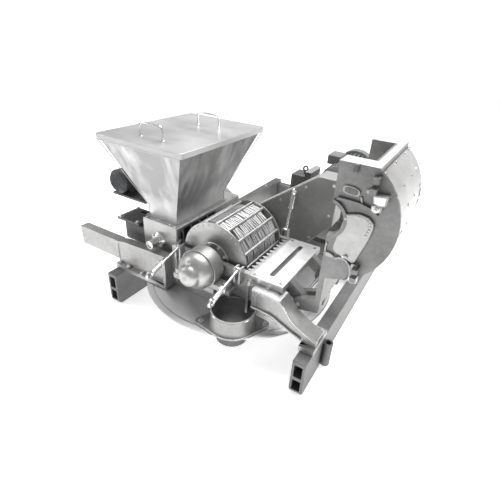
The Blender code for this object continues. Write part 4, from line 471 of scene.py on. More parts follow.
def smoothing_nodes():
    """Smooth shading across gentle angles, with sharp edges kept sharp."""
    tree = bpy.data.node_groups.new("smooth_round_faces", 'GeometryNodeTree')
    tree.interface.new_socket("Geometry", in_out='INPUT', socket_type='NodeSocketGeometry')
    tree.interface.new_socket("Geometry", in_out='OUTPUT', socket_type='NodeSocketGeometry')
    source = tree.nodes.new('NodeGroupInput')
    sink = tree.nodes.new('NodeGroupOutput')
    faces = tree.nodes.new('GeometryNodeSetShadeSmooth')
    edges = tree.nodes.new('GeometryNodeSetShadeSmooth')
    edges.domain = 'EDGE'
    edges.inputs["Shade Smooth"].default_value = False
    angle = tree.nodes.new('GeometryNodeInputMeshEdgeAngle')
    steep = tree.nodes.new('FunctionNodeCompare')
    steep.inputs["B"].default_value = math.radians(31)
    tree.links.new(source.outputs[0], faces.inputs["Geometry"])
    tree.links.new(faces.outputs[0], edges.inputs["Geometry"])
    tree.links.new(angle.outputs["Unsigned Angle"], steep.inputs["A"])
    tree.links.new(steep.outputs[0], edges.inputs["Selection"])
    tree.links.new(edges.outputs[0], sink.inputs[0])
    return tree


def smooth_frame():
    """Smooth shading on every CAD part, which leaves its shape alone."""
    tree = smoothing_nodes()
    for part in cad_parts.values():
        weld = part.modifiers.new("weld", 'WELD')
        weld.merge_threshold = 0.00004
        part.modifiers.new("smooth_round_faces", 'NODES').node_group = tree


def soften(names, width):
    """Rounds the cast edges of frame parts so that they catch the light."""
    for name in names:
        rounding(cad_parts[name], width, 2, 38)


# Rotor
def around(radius, angle, y):
    """A point on a circle about the rotor's axis."""
    return at(radius * math.cos(angle), y, AXIS_Z + radius * math.sin(angle))


def dress_rotor():
    """Stacks of thin hammers between the rods, over a dark inner drum."""
    core = bmesh.new()
    bore, drum_radius, drum_front, drum_rear = 0.0305, 0.152, 0.199, 0.553
    lathe(core, [(bore, drum_rear), (drum_radius, drum_rear), (drum_radius, drum_front), (bore, drum_front)],
          at(0, 0, AXIS_Z), (0, 1, 0), 64)
    drum = make("hammer_core", core, DARK_CORE_AND_SOCKET_SHADE, "rotor")
    plates = bmesh.new()
    spacers = bmesh.new()
    front = ROTOR_FRONT + DISC_THICK
    long = ROTOR_REAR - DISC_THICK - front
    pitch = (ROTOR_REAR - ROTOR_FRONT - 2 * DISC_THICK) / HAMMER_RINGS
    step = 2 * math.pi / ROD_COUNT
    hammer_foot, hammer_height, hammer_thick, hammer_wide, hammer_pitch = 0.1525, 0.034, 0.0074, 0.058, 0.0132
    for row in range(ROD_COUNT):
        angle = (row + 0.5) * step
        turn = Matrix.Translation(at(0, 0, AXIS_Z)) @ Matrix.Rotation(-angle, 4, 'Y')
        # Every other row has one stack fewer and stands half a pitch further back
        shift = 0.0 if row % 2 else pitch * 0.5
        count = HAMMER_RINGS if row % 2 else HAMMER_RINGS - 1
        for ring in range(count):
            middle = front + (ring + 0.5) * pitch + shift
            for k in range(4):
                y = middle + (k - 1.5) * hammer_pitch + random.uniform(-0.0012, 0.0012)
                tall = hammer_height + random.uniform(-0.003, 0.0012)
                lean = Matrix.Rotation(random.uniform(-0.16, 0.16), 4, 'X')
                place = turn @ Matrix.Translation((hammer_foot + tall / 2, y, 0.0)) @ lean
                brick(plates, place, (tall, hammer_thick, hammer_wide))
            brick(spacers, turn @ Matrix.Translation((0.164, middle, 0.0)), (0.026, 0.040, 0.044))
    for k in range(ROD_COUNT):
        stub(spacers, around(0.170, k * step, front), (0, 1, 0), 0.0085, long, 10)
    hammers = make("hammer_stacks", plates, HAMMER, "rotor", 0.0006, 1)
    make("hammer_spacers", spacers, BLASTED, "rotor", 0.002, 1)
    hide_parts("hammer_drum")
    heads = bmesh.new()
    for k in range(ROD_COUNT * 2):
        round_bolt(heads, around(0.1865 if k % 2 else 0.1835, k * step / 2, ROTOR_FRONT), (0, -1, 0), 0.0052)
    for k in range(ROD_COUNT):
        round_bolt(heads, around(0.150, (k + 0.5) * step, ROTOR_FRONT), (0, -1, 0), 0.0034)
    for k in range(8):
        hex_bolt(heads, around(0.074, (k + 0.5) * math.pi / 4, ROTOR_FRONT - 0.004), (0, -1, 0), 0.012)
    make("rotor_disc_bolts", heads, BOLT, "rotor")
    collars = bmesh.new()
    for k in range(ROD_COUNT):
        foot = around(0.1915, k * step, front)
        for share in (0.16, 0.34, 0.50, 0.66, 0.84):
            stub(collars, foot + Vector((0, share * long, 0)), (0, 1, 0), 0.0084, 0.006, 12)
    make("rod_collars", collars, BLASTED, "rotor")


# Cover: the front wall's raised work, drawn in the places it has when the cover is open
def wall_plate(bm, outline, thickness, foot=WALL_Y):
    """A raised patch on the cover's front wall, from (x, z) pairs where it stands open."""
    slab(bm, [at(x, foot + BITE, z) for x, z in outline], (0, -(thickness + BITE), 0))


def strip(points, width):
    """Outline of a band of even width along a bent line."""
    left = []
    right = []
    for i, (x, z) in enumerate(points):
        ahead = points[min(i + 1, len(points) - 1)]
        behind = points[max(i - 1, 0)]
        run = Vector((ahead[0] - behind[0], ahead[1] - behind[1])).normalized()
        left.append((x - run.y * width / 2, z + run.x * width / 2))
        right.append((x + run.y * width / 2, z - run.x * width / 2))
    return left + right[::-1]


def rounded(points):
    """Cuts the corners of an outline twice, so that it reads as a cast shape."""
    for _ in range(2):
        cut = []
        for i, (x, z) in enumerate(points):
            nx, nz = points[(i + 1) % len(points)]
            cut.append((x * 0.78 + nx * 0.22, z * 0.78 + nz * 0.22))
            cut.append((x * 0.22 + nx * 0.78, z * 0.22 + nz * 0.78))
        points = cut
    return points


def wall_boss(bm, x, z, radius, height, foot=WALL_Y):
    """A low round boss on the cover's front wall."""
    stub(bm, at(x, foot + BITE, z), (0, -1, 0), radius, height + BITE, 24, tip=radius * 0.86)


def outward(degrees):
    """A direction square to the cover's shell."""
    return Vector((math.cos(math.radians(degrees)), 0.0, math.sin(math.radians(degrees))))


# Small round studs along the pad's upper edge, as (x, z) where the cover stands open
PAD_STUDS = ((0.655, 0.906), (0.664, 0.919), (0.675, 0.924), (0.687, 0.926), (0.700, 0.926), (0.713, 0.925),
             (0.726, 0.922), (0.738, 0.917), (0.748, 0.909), (0.751, 0.897), (0.749, 0.884), (0.746, 0.871),
             (0.743, 0.858))
# The pad's outline, across the cover and up it from the shell's axis
PAD_OUTLINE = ((-0.039, 0.078), (-0.047, 0.100), (-0.053, 0.130), (-0.048, 0.164), (-0.030, 0.186),
               (-0.010, 0.190), (0.040, 0.182), (0.152, 0.150), (0.160, 0.140), (0.134, 0.060),
               (0.124, 0.052), (0.104, 0.052))
# Bolts through the shell: the angle of each row, and their places along the machine
SHELL_BOLTS = ((49.8, (0.165, 0.345, 0.509, 0.590)), (31.3, (0.152, 0.289, 0.440, 0.560)),
               (14.0, (0.165, 0.310, 0.447, 0.575)), (-8.0, (0.200, 0.380, 0.560)),
               (-32.0, (0.200, 0.380, 0.560)))


def dress_cover_pad():
    """The bare raised pad: a flat face and the studs along its upper edge."""
    bumps = bmesh.new()
    for x, z in PAD_STUDS:
        place = Matrix.Translation(at(x, PAD_Y - 0.0012, z)) @ Matrix.Diagonal((1, 0.34, 1, 1))
        bmesh.ops.create_uvsphere(bumps, u_segments=14, v_segments=8, radius=0.0066, matrix=place)
    make("cover_pad_studs", bumps, CAST_PLATE, "cover")

    pad = bmesh.new()
    outline = [(COVER_X + up, COVER_Z - across) for across, up in PAD_OUTLINE]
    middle_x = sum(x for x, _ in outline) / len(outline)
    middle_z = sum(z for _, z in outline) / len(outline)
    inset = [(middle_x + (x - middle_x) * 0.965, middle_z + (z - middle_z) * 0.975) for x, z in outline]
    wall_plate(pad, inset, 0.0012, PAD_Y)
    make("cover_pad_face", pad, CAST_PLATE, "cover", 0.0006)


def dress_cover_shell():
    """A lighter copy of the casting wrapped round the cover's shell: painted light where the shell faces the
    lamps.
    """
    wrap = bmesh.new()
    start, sweep, steps = -78.0, 129.5, 64
    inside, outside, front, rear = 0.2712, 0.2734, 0.1585, 0.6190
    edges = []
    for i in range(steps + 1):
        angle = math.radians(start + sweep * i / steps)
        ring = []
        for radius, y in ((inside, front), (outside, front), (outside, rear), (inside, rear)):
            place = at(COVER_X + radius * math.cos(angle), y, COVER_Z + radius * math.sin(angle))
            ring.append(wrap.verts.new(place))
        edges.append(ring)
    for first, second in zip(edges, edges[1:]):
        for k in range(4):
            wrap.faces.new((first[k], first[(k + 1) % 4], second[(k + 1) % 4], second[k]))
    wrap.faces.new(edges[0][::-1])
    wrap.faces.new(edges[-1])
    make("cover_shell_painted_light", wrap, COVER_SHELL_LIT, "cover")


def dress_cover_wall():
    """Ribs, bosses, lugs and their machined flats on the cover's front wall, and a dark oval painted on one
    boss as the shade of a recess.
    """
    raised = bmesh.new()
    wall_plate(raised, rounded([(0.622, 1.036), (0.672, 1.033), (0.690, 1.020), (0.686, 1.002),
                                (0.670, 0.998), (0.620, 1.004)]), 0.008)
    wall_plate(raised, strip([(0.694, 1.004), (0.698, 0.990), (0.703, 0.978)], 0.009), 0.008)
    wall_plate(raised, strip([(0.600, 0.780), (0.596, 0.760), (0.598, 0.740), (0.612, 0.727)], 0.007), 0.008)
    make("cover_wall_ribs", raised, CAST, "cover", 0.003, 3)

    # A dark oval on the boss's face: painted shade standing in for a recess
    pill_shade = bmesh.new()
    wall_plate(pill_shade, rounded([(0.630, 1.030), (0.670, 1.027), (0.682, 1.018), (0.679, 1.006), (0.667, 1.003),
                              (0.628, 1.009)]), 0.0022, WALL_Y - 0.008)
    make("cover_pill_painted_shade", pill_shade, CAST_SHADE, "cover", 0.001)

    lower = bmesh.new()
    wall_plate(lower, strip([(0.644, 0.722), (0.663, 0.734), (0.688, 0.731), (0.707, 0.712), (0.717, 0.685),
                             (0.716, 0.650), (0.704, 0.636)], 0.009), 0.014)
    wall_plate(lower, rounded([(0.709, 0.730), (0.741, 0.727), (0.738, 0.690), (0.757, 0.640), (0.714, 0.634),
                               (0.722, 0.680)]), 0.018)
    wall_plate(lower, rounded([(0.600, 0.742), (0.635, 0.735), (0.641, 0.722), (0.616, 0.718),
                               (0.598, 0.722)]), 0.009)
    make("cover_lower_strap", lower, CAST, "cover", 0.003, 3)

    bosses = bmesh.new()
    wall_boss(bosses, 0.716, 1.030, 0.010, 0.010)
    wall_boss(bosses, 0.686, 0.748, 0.009, 0.009, PAD_Y)
    block(bosses, at(0.740, 0.112, 0.968), at(0.778, 0.1405, 0.992))
    make("cover_bosses", bosses, CAST, "cover", 0.002, 2)
    lug = bmesh.new()
    slab(lug, [at(x, 0.1405, z) for x, z in ((0.738, 1.030), (0.792, 1.034), (0.790, 0.997), (0.766, 0.992),
                                             (0.744, 0.998))], (0, -0.034, 0))
    make("cover_bolt_lug", lug, CAST, "cover", 0.003, 2)
    flats = bmesh.new()
    slab(flats, [at(x, 0.1070, z) for x, z in ((0.744, 1.026), (0.786, 1.030), (0.785, 1.001), (0.766, 0.997),
                                               (0.749, 1.002))], (0, -0.0012, 0))
    for k in range(3):
        stub(flats, at(0.759, 0.1125 - k * 0.0035, 0.980), (0, -1, 0), 0.0145 - k * 0.0025, 0.0036, 22)
    stub(flats, at(0.728, 0.1225, 0.660), (0, -1, 0), 0.011, 0.006, 22)
    make("cover_machined_flats", flats, MACHINED_AND_ARM_HIGHLIGHT, "cover", 0.0006)

    clamp = bmesh.new()
    block(clamp, at(0.648, 0.119, 1.091), at(0.668, 0.1315, 1.1205))
    block(clamp, at(0.652, 0.114, 1.097), at(0.664, 0.120, 1.115))
    make("rim_clamp", clamp, CAST_SHADE, "cover", 0.003, 2)


def dress_cover_bolts():
    """Bolts of the front wall and the shell, and the lugs on the shell's back."""
    heads = bmesh.new()
    hex_bolt(heads, at(0.759, 0.1025, 0.980), (0, -1, 0), 0.010)
    hex_bolt(heads, at(0.728, 0.1165, 0.660), (0, -1, 0), 0.012)
    hex_bolt(heads, at(0.676, PAD_Y, 0.744), (0, -1, 0), 0.008)
    for degrees, places in SHELL_BOLTS:
        out = outward(degrees)
        for y in places:
            radius = 0.2745 if y < 0.158 else 0.2705
            hex_bolt(heads, at(COVER_X, y, COVER_Z) + out * radius, out, 0.0115)
    make("cover_shell_bolts", heads, BOLT, "cover")

    lugs = bmesh.new()
    for degrees, y in ((9.0, 0.595), (-6.0, 0.590), (-14.0, 0.300)):
        out = outward(degrees)
        foot = at(COVER_X, y, COVER_Z) + out * 0.2655
        brick(lugs, Matrix.Translation(foot) @ towards(out), (0.056, 0.030, 0.020))
    make("cover_back_lugs", lugs, CAST_SHADE, "cover", 0.003, 2)


def dress_cover_faces():
    """Fresh milled faces: round three sides of the feed port, and on the parting edge."""
    face = bmesh.new()
    left, right, port_right = 0.5912, 0.7408, 0.7095
    front, port_front, port_rear, rear = 0.1305, 0.2155, 0.5445, 0.6195
    low, lap = PORT_FACE - 0.0008, 0.0002
    block(face, at(left, front, low), at(right, port_front, PORT_FACE))
    block(face, at(left, port_rear, low), at(right, rear, PORT_FACE))
    block(face, at(port_right, port_front - lap, low), at(right, port_rear + lap, PORT_FACE))
    make("port_machined_face", face, WHITE_FACE_AND_FLIGHT_HIGHLIGHT, "cover", 0.0003, 1)
    parting = bmesh.new()
    for low_z, high_z in ((1.090, 1.118), (0.976, 1.036)):
        block(parting, at(0.59015, 0.1415, low_z), at(0.5909, 0.166, high_z))
    make("cover_parting_face", parting, WHITE_FACE_AND_FLIGHT_HIGHLIGHT, "cover", 0.0002, 1)


# Mill housing and bearings
def dress_mill():
    """Bearing bolts, grease nipple, liner teeth, flange screws and housing ribs."""
    heads = bmesh.new()
    for x in (-0.135, 0.135):
        hex_bolt(heads, at(x, 0.092, 0.402), (0, 0, 1), 0.018)
    for x in (-0.125, 0.125):
        hex_bolt(heads, at(x, 0.668, 0.402), (0, 0, 1), 0.018)
    make("bearing_bolts", heads, BOLT, "base")
    nipple = bmesh.new()
    foot = at(0.0, -0.020, AXIS_Z + 0.060)
    stub(nipple, foot, (0, -0.15, 1), 0.0085, 0.006, 6)
    stub(nipple, foot + Vector((0, 0, 0.005)), (0, -0.15, 1), 0.0055, 0.010, 14)
    stub(nipple, foot + Vector((0, -0.001, 0.014)), (0, -0.15, 1), 0.0040, 0.007, 14, tip=0.0062)
    make("grease_nipple", nipple, BOLT, "base", 0.0004)
    seam = bmesh.new()
    lathe(seam, [(0.1025, 0.046), (0.1068, 0.047), (0.1068, 0.056), (0.1030, 0.057)], at(0, 0, AXIS_Z),
          (0, 1, 0), 56)
    bmesh.ops.bisect_plane(seam, geom=seam.verts[:] + seam.edges[:] + seam.faces[:], plane_co=at(0, 0, 0.404),
                           plane_no=(0, 0, -1), clear_outer=True)
    make("bearing_joint_ring", seam, CAST, "base")
    teeth = bmesh.new()
    for i in range(11):
        y = 0.178 + i * 0.0375
        slab(teeth, [at(0.212, y, 0.4745), at(0.238, y - 0.005, 0.4745), at(0.238, y + 0.020, 0.4745),
                     at(0.212, y + 0.013, 0.4745)], (0, 0, -0.055))
    make("liner_teeth", teeth, CAST, "base", 0.0015)
    studs = bmesh.new()
    socket_shade = bmesh.new()
    for x, y in ((0.265, 0.158), (0.405, 0.163), (0.408, 0.580), (0.265, 0.590)):
        stub(studs, at(x, y, 0.4725), (0, 0, 1), 0.0115, 0.00268, 28)
        # A dark hexagon on each screw head: painted shade standing in for its socket recess
        stub(socket_shade, at(x, y, FLANGE_FACE), (0, 0, 1), 0.0055, 0.00122, 6)
    make("flange_socket_painted_shade", socket_shade, DARK_CORE_AND_SOCKET_SHADE, "base")
    for x, z in ((0.262, 0.440), (0.300, 0.424)):
        stud(studs, at(x, MILL_FRONT, z), (0, -1, 0), 0.008, 0.034)
    make("flange_studs", studs, BOLT, "base")
    wall = bmesh.new()
    for left, right in ((-0.232, -0.212), (0.235, 0.252)):
        corners = ((left, 0.24), (right, 0.24), (right, 0.44), (left, 0.44))
        slab(wall, [at(x, MILL_FRONT + BITE, z) for x, z in corners], (0, -0.010, 0))
    make("housing_ribs", wall, CAST, "base", 0.003, 3)


def dress_bearing():
    """The smooth dome over the front bearing, which replaces the CAD cap, and its plug."""
    dome = bmesh.new()
    profile = [(0.0305, 0.0497), (0.1000, 0.0497), (0.1006, 0.040), (0.0990, 0.028), (0.0945, 0.014),
               (0.0870, 0.002), (0.0770, -0.008), (0.0670, -0.0145), (0.0615, -0.019), (0.0590, -0.025),
               (0.0565, -0.034), (0.0500, -0.044), (0.0400, -0.0515), (0.0260, -0.0565), (0.0120, -0.0585),
               (0.0002, -0.059)]
    lathe(dome, profile, at(0, 0, AXIS_Z), (0, 1, 0), 72)
    cap = make("bearing_dome", dome, BLASTED, "base")
    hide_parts("front_bearing_cap")
    boss = bmesh.new()
    lathe(boss, [(0.0, -0.0595), (0.011, -0.0595), (0.013, -0.0570), (0.013, -0.050), (0.0, -0.050)],
          at(0, 0, AXIS_Z), (0, 1, 0), 24)
    make("bearing_dome_plug", boss, CAST, "base")


def slot_half(side):
    """One half of the flange's top face, cut round the slot, from (x, y) pairs."""
    slot_x = 0.338
    radius = 0.0135
    ends = (0.208, 0.542)
    edge = 0.2525 if side < 0 else 0.4295
    front, rear = 0.1405, 0.6095
    quarter = [math.radians(a) for a in range(0, 91, 15)]
    points = [(edge, front), (slot_x, front)]
    points += [(slot_x + side * radius * math.sin(a), ends[0] - radius * math.cos(a)) for a in quarter]
    points += [(slot_x + side * radius * math.cos(a), ends[1] + radius * math.sin(a)) for a in quarter]
    return points + [(slot_x, rear), (edge, rear)]


def dress_flange():
    """Fresh milled skin on the parting flange, its front edge, and stepped collars below it."""
    face = bmesh.new()
    for side in (-1, 1):
        slab(face, [at(x, y, 0.4742) for x, y in slot_half(side)], (0, 0, 0.00095))
    make("flange_milled_face", face, WHITE_FACE_AND_FLIGHT_HIGHLIGHT, "base")
    edge = bmesh.new()
    block(edge, at(0.292, 0.1388, 0.4425), at(0.4305, 0.1402, FLANGE_FACE))
    make("flange_milled_edge", edge, MACHINED_AND_ARM_HIGHLIGHT, "base", 0.0004, 1)
    collars = bmesh.new()
    for x, z in ((0.306, 0.408), (0.352, 0.428)):
        for k, radius in enumerate((0.017, 0.0135, 0.0155, 0.010)):
            stub(collars, at(x, 0.1405 - k * 0.011, z), (0, -1, 0), radius, 0.010, 28)
        stub(collars, at(x, 0.098, z), (0, -1, 0), 0.0065, 0.010, 16)
    make("flange_stud_collars", collars, BOLT, "base", 0.0008, 1)


# Base, plate and spout
def dress_base():
    """The round plate's bead and the bolts of the base."""
    groove = bmesh.new()
    lathe(groove, [(0.520, 0.2049), (0.524, 0.2062), (0.530, 0.2062), (0.534, 0.2049)], at(0, PLATE_Y, 0),
          (0, 0, 1), 96)
    make("plate_bead", groove, PLATE, "base")
    bolts = bmesh.new()
    for side in (-1, 1):
        hex_bolt(bolts, at(SPOUT_X + side * 0.140, SPOUT_Y + side * 0.081, 0.2193), (0, 0, 1), 0.019)
    for x, y in ((0.578, 0.120), (0.632, 0.225)):
        hex_bolt(bolts, at(x, y, RAIL_TOP), (0, 0, 1), 0.018)
    for x, z in ((-0.560, RAIL_TOP), (-0.630, RAIL_TOP), (-0.45, 0.2325)):
        hex_bolt(bolts, at(x, 0.088, z), (0, 0, 1), 0.016)
    for x in (-0.614, 0.614):
        for y in (0.9, 1.3, 1.9):
            round_bolt(bolts, at(x, y, 0.210), (0, 0, 1), 0.009)
    make("base_bolts", bolts, BOLT, "base")


def dress_spout():
    """Polished lip, a painted highlight round the flange's edge, a dark throat lining painted as shade, and the
    skirt that widens to the flange.
    """
    mouth = bmesh.new()
    centre = at(SPOUT_X, SPOUT_Y, 0)
    lathe(mouth, [(0.1065, 0.3020), (0.1085, 0.3040), (0.1115, 0.3042), (0.1132, 0.3022), (0.1120, 0.2990)],
          centre, (0, 0, 1), 64)
    make("spout_lip", mouth, POLISH_AND_EDGE_HIGHLIGHT, "base")
    # A bright bead round the flange's top edge: a painted highlight
    turn = math.radians(30.0)
    corners = []
    for start, end, radius, along in ((-52, 52, 0.0300, 0.1575), (60, 120, 0.126, 0.0),
                                      (128, 232, 0.0300, -0.1575), (240, 300, 0.126, 0.0)):
        for k in range(9):
            a = math.radians(start + (end - start) * k / 8)
            u, v = along + radius * math.cos(a), radius * math.sin(a)
            corners.append(at(SPOUT_X + u * math.cos(turn) - v * math.sin(turn),
                              SPOUT_Y + u * math.sin(turn) + v * math.cos(turn), 0.2186))
    rope("spout_flange_painted_highlight", corners, 0.0016, POLISH_AND_EDGE_HIGHLIGHT, "base", True)
    # Painted shade: a dark lining inside the spout's throat
    throat = bmesh.new()
    lathe(throat, [(0.1064, 0.3085), (0.1050, 0.3080), (0.0915, 0.2403), (0.0850, 0.2120), (0.0815, 0.2050),
                   (0.0805, 0.1300), (0.0835, 0.1300), (0.0862, 0.2050), (0.0885, 0.2120), (0.0950, 0.2403),
                   (0.1080, 0.3085)], centre, (0, 0, 1), 64)
    make("spout_throat", throat, THROAT_SHADE, "base")
    skirt = bmesh.new()
    lathe(skirt, [(0.1080, 0.3015), (0.1092, 0.290), (0.1105, 0.275), (0.1125, 0.255), (0.1150, 0.236),
                  (0.1180, 0.2245), (0.1215, 0.2190), (0.1150, 0.2190), (0.1060, 0.255), (0.1030, 0.3015)],
          centre, (0, 0, 1), 72)
    make("spout_skirt", skirt, SPOUT, "base")


def dress_arm():
    """Bright beads along the right arm's upper and lower edges: painted highlights where the edges catch the
    light.
    """
    crown = ((0.294, 0.434), (0.400, 0.434), (0.444, 0.425), (0.478, 0.391), (0.512, 0.352), (0.562, 0.319),
             (0.644, 0.280))
    belly = ((0.294, 0.329), (0.400, 0.325), (0.450, 0.305), (0.520, 0.275), (0.566, 0.259))
    rope("right_arm_crown_highlight", flowing([at(x, 0.0895, z) for x, z in crown]), 0.0048, MACHINED_AND_ARM_HIGHLIGHT, "base")
    rope("right_arm_belly_highlight", flowing([at(x, 0.0925, z) for x, z in belly]), 0.0048, MACHINED_AND_ARM_HIGHLIGHT, "base")


# Feeder and hopper
def dress_feeder():
    """Bolts of the trough, the screw bearing and the drive table."""
    heads = bmesh.new()
    for y in (0.215, 0.305, 0.395, 0.485, 0.575, 0.665, 0.755):
        hex_bolt(heads, at(-0.262, y, TROUGH_RIM), (0, 0, 1), 0.009)
    for x in (-0.485, -0.40, -0.31, -0.27):
        hex_bolt(heads, at(x, 0.200, TROUGH_RIM), (0, 0, 1), 0.009)
    for k in range(4):
        angle = math.radians(45 + 90 * k)
        foot = at(SCREW_X + 0.036 * math.cos(angle), 0.1565, SCREW_Z + 0.036 * math.sin(angle))
        hex_bolt(heads, foot, (0, -1, 0), 0.009)
    for x, y in ((-0.715, 0.212), (-0.715, 0.352), (-0.580, 0.212), (-0.580, 0.352)):
        hex_bolt(heads, at(x, y, 0.4843), (0, 0, 1), 0.015)
    make("feeder_bolts", heads, BOLT, "base")


def dress_screw():
    """A bright bead along the rim of the screw's flight: a painted highlight that shows the flight in the
    shadowed neck.
    """
    turns, steps = 7, 28
    radius, start, length = 0.0835, 0.205, 0.56
    rim = []
    for i in range(turns * steps + 1):
        angle = 2 * math.pi * i / steps
        rim.append(at(SCREW_X + radius * math.cos(angle), start + i * length / (turns * steps),
                      SCREW_Z + radius * math.sin(angle)))
    rope("screw_flight_painted_highlight", rim, 0.0040, WHITE_FACE_AND_FLIGHT_HIGHLIGHT, "screw")


def dress_hopper():
    """The flange round the hopper's foot and the folded seams up its corners."""
    flange = bmesh.new()
    left, right, front, rear = NECK
    wide = 0.014
    for low, high in (((left - wide, front - wide), (right + wide, front)),
                      ((left - wide, rear), (right + wide, rear + wide)),
                      ((left - wide, front), (left, rear)),
                      ((right, front), (right + wide, rear))):
        block(flange, at(*low, 0.5524), at(*high, 0.5564))
    make("hopper_foot_flange", flange, SHEET, "base", 0.001)
    seams = (((left, front), (-0.676, 0.092)), ((right, front), (-0.128, 0.092)),
             ((right, rear), (-0.128, 0.850)), ((left, rear), (-0.676, 0.850)))
    for i, (foot, head) in enumerate(seams):
        rope("hopper_seam_%d" % (i + 1), [at(*foot, 0.556), at(*foot, 0.612), at(*head, 0.98)], 0.0022, SHEET,
             "base")


def dress_feeder_motor():
    """Fan grille and terminal box of the feeder's motor."""
    cowl = bmesh.new()
    for radius in (0.016, 0.028, 0.040, 0.052):
        lathe(cowl, [(radius, 0.2155), (radius + 0.0015, 0.2125), (radius + 0.0045, 0.2125),
                     (radius + 0.006, 0.2155)], at(FAN_X, 0, FAN_Z), (0, 1, 0), 40)
    for k in range(8):
        turn = Matrix.Translation(at(FAN_X, 0.2138, FAN_Z)) @ Matrix.Rotation(k * math.pi / 4, 4, 'Y')
        brick(cowl, turn @ Matrix.Translation((0.032, 0, 0)), (0.050, 0.003, 0.003))
    make("feeder_cowl_grille", cowl, MOTOR, "base")
    box = bmesh.new()
    block(box, at(-0.760, 0.300, 0.764), at(-0.690, 0.372, 0.806))
    make("feeder_terminal_box", box, MOTOR, "base", 0.006, 3)


def dress_lid():
    """The hem under the lid's front and rear edges, and the feet of its handles."""
    rim = bmesh.new()
    for front, rear in ((0.0785, 0.0875), (0.8545, 0.8635)):
        block(rim, at(-0.668, front, 0.981), at(-0.136, rear, 0.986))
    make("lid_hem", rim, LID, "lid", 0.001)
    pads = bmesh.new()
    for x, y in ((-0.480, 0.205), (-0.330, 0.205), (-0.450, 0.640), (-0.300, 0.640)):
        stub(pads, at(x, y, 1.0106), (0, 0, 1), 0.0105, 0.004, 24, tip=0.0065)
    make("handle_feet", pads, TURNED, "lid", 0.0006)


# Drive
def dress_drive():
    """Pale strips of painted light on the belt guard's top and front edge, screws of the belt guard, and the
    main motor's grille, box and slide bar.
    """
    # A pale strip over the guard's top: painted light where the top faces the lamps
    top = bmesh.new()
    corners = ((0.312, 0.736), (0.434, 0.736), (0.434, 0.866), (0.312, 0.866))
    slab(top, [at(x, y, 0.8302) for x, y in corners], (0, 0, 0.0012))
    make("guard_top_painted_light", top, PALE_SHEET, "base", 0.0004)
    # A pale strip along the guard's front edge: a painted highlight
    lip = bmesh.new()
    rise = Vector((0.332, 0, 0.253)).normalized()
    across = Vector((-rise.z, 0, rise.x))
    foot = at(-0.066, 0.7322, 0.5515)
    run = rise * 0.455
    slab(lip, [foot, foot + run, foot + run - across * 0.005, foot - across * 0.005], (0, -0.0022, 0))
    make("guard_lip_painted_highlight", lip, PALE_SHEET, "base", 0.0004)
    heads = bmesh.new()
    for x, z in ((0.41, 0.80), (0.41, 0.62), (0.31, 0.45), (0.02, 0.375), (-0.09, 0.46), (0.10, 0.64),
                 (0.25, 0.755)):
        hex_bolt(heads, at(x, GUARD_FACE, z), (0, -1, 0), 0.009)
    make("guard_screws", heads, BOLT, "base")
    grille = bmesh.new()
    for radius in (0.030, 0.050, 0.070, 0.090, 0.108):
        lathe(grille, [(radius, 1.469), (radius + 0.002, 1.4735), (radius + 0.006, 1.4735),
                       (radius + 0.008, 1.469)], at(MOTOR_X, 0, MOTOR_Z), (0, 1, 0), 48)
    make("main_cowl_grille", grille, MAIN_MOTOR, "base")
    box = bmesh.new()
    block(box, at(0.215, 1.130, 0.790), at(0.300, 1.250, 0.850))
    make("main_terminal_box", box, MAIN_MOTOR, "base", 0.006, 3)
    bars = bmesh.new()
    block(bars, at(0.078, 1.128, 0.7003), at(0.122, 1.302, 0.7060))
    make("slide_bar_cap", bars, PALE_SHEET, "base", 0.001)


smooth_frame()
dress_rotor()
dress_cover_pad()
dress_cover_shell()
dress_cover_wall()
dress_cover_bolts()
dress_cover_faces()
dress_mill()
dress_bearing()
dress_flange()
dress_base()
dress_spout()
dress_arm()
dress_feeder()
dress_screw()
dress_hopper()
dress_feeder_motor()
dress_lid()
dress_drive()
soften(("lower_housing", "mill_cover", "left_arm", "right_arm", "feeder_trough", "rail_left", "rail_right"),
       0.0025)
soften(("rotor_disc_front", "rotor_rod_cage", "front_bearing_housing", "rear_bearing_housing"), 0.0012)


# Camera, floor and light
def aim_camera():
    """The camera that took the photograph, with a slight roll."""
    yaw, pitch, roll = (math.radians(value) for value in (29.23, 30.46, 3.74))
    ahead = Vector((-math.sin(yaw) * math.cos(pitch), math.cos(yaw) * math.cos(pitch), -math.sin(pitch)))
    level = Vector((math.cos(yaw), math.sin(yaw), 0.0))
    upright = level.cross(ahead)
    right = math.cos(roll) * level + math.sin(roll) * upright
    top = -math.sin(roll) * level + math.cos(roll) * upright
    data = bpy.data.cameras.new("photo_camera")
    data.sensor_width = 36.0
    data.lens = 26.66
    data.clip_end = 100.0
    camera = bpy.data.objects.new("photo_camera", data)
    bpy.context.scene.collection.objects.link(camera)
    turn = Matrix((right, top, -ahead)).transposed().to_4x4()
    camera.matrix_world = Matrix.Translation(at(0.975, -1.1736, 1.5)) @ turn
    bpy.context.scene.camera = camera


def lay_floor():
    """A wide pale floor that glows a little, so that it meets the backdrop."""
    bm = bmesh.new()
    bmesh.ops.create_grid(bm, x_segments=8, y_segments=8, size=14.0)
    mesh = bpy.data.meshes.new("studio_floor")
    bm.to_mesh(mesh)
    bm.free()
    floor = bpy.data.objects.new("studio_floor", mesh)
    bpy.context.scene.collection.objects.link(floor)
    floor.location.z = -0.0005
    f = Finish("studio_floor", 0.55, 0.0)
    f.shader.inputs["Base Color"].default_value = (0.92, 0.92, 0.92, 1.0)
    f.shader.inputs["Emission Color"].default_value = (1.0, 1.0, 1.0, 1.0)
    f.shader.inputs["Emission Strength"].default_value = 0.56
    mesh.materials.append(f.material)


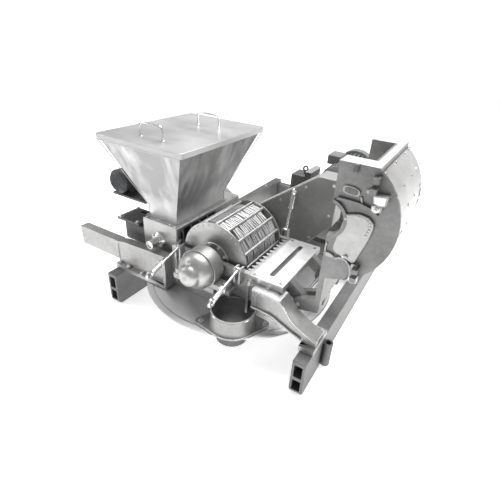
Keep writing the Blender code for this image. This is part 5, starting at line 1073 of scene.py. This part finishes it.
def softbox(name, place, target, size, power):
    """A large lamp turned to face a point."""
    data = bpy.data.lights.new(name, 'AREA')
    data.shape = 'RECTANGLE'
    data.size = size[0]
    data.size_y = size[1]
    data.energy = power
    light = bpy.data.objects.new(name, data)
    bpy.context.scene.collection.objects.link(light)
    light.location = place
    light.rotation_euler = (Vector(target) - Vector(place)).to_track_quat('-Z', 'Y').to_euler()


def light_studio():
    """A sky that lights the machine from above, a white backdrop that only the camera sees, three softboxes."""
    world = bpy.data.worlds.new("studio")
    bpy.context.scene.world = world
    world.use_nodes = True
    tree = world.node_tree
    sky = tree.nodes["Background"]
    place = tree.nodes.new("ShaderNodeTexCoord")
    axes = tree.nodes.new("ShaderNodeSeparateXYZ")
    tree.links.new(place.outputs["Generated"], axes.inputs[0])
    heights = tree.nodes.new("ShaderNodeValToRGB")
    heights.color_ramp.elements[0].position = 0.0
    heights.color_ramp.elements[0].color = (0.55, 0.55, 0.55, 1.0)
    heights.color_ramp.elements[1].position = 0.75
    heights.color_ramp.elements[1].color = (0.95, 0.95, 0.95, 1.0)
    tree.links.new(axes.outputs["Z"], heights.inputs[0])
    tree.links.new(heights.outputs[0], sky.inputs["Color"])
    sky.inputs["Strength"].default_value = 0.56
    backdrop = tree.nodes.new("ShaderNodeBackground")
    backdrop.inputs["Color"].default_value = (1.0, 1.0, 1.0, 1.0)
    backdrop.inputs["Strength"].default_value = 1.05
    seen = tree.nodes.new("ShaderNodeLightPath")
    either = tree.nodes.new("ShaderNodeMixShader")
    tree.links.new(seen.outputs["Is Camera Ray"], either.inputs[0])
    tree.links.new(sky.outputs[0], either.inputs[1])
    tree.links.new(backdrop.outputs[0], either.inputs[2])
    tree.links.new(either.outputs[0], tree.nodes["World Output"].inputs["Surface"])
    middle = (0.0, 0.0, 0.5)
    softbox("top_softbox", (-0.2, 0.8, 4.4), middle, (3.6, 3.6), 210.0)
    softbox("left_softbox", (-3.6, -2.6, 2.6), middle, (1.2, 2.4), 30.0)
    softbox("right_softbox", (4.0, 0.6, 2.6), middle, (1.6, 3.0), 95.0)


aim_camera()
lay_floor()
light_studio()
bpy.context.scene.view_settings.view_transform = 'Standard'
bpy.context.scene.view_settings.gamma = 0.88
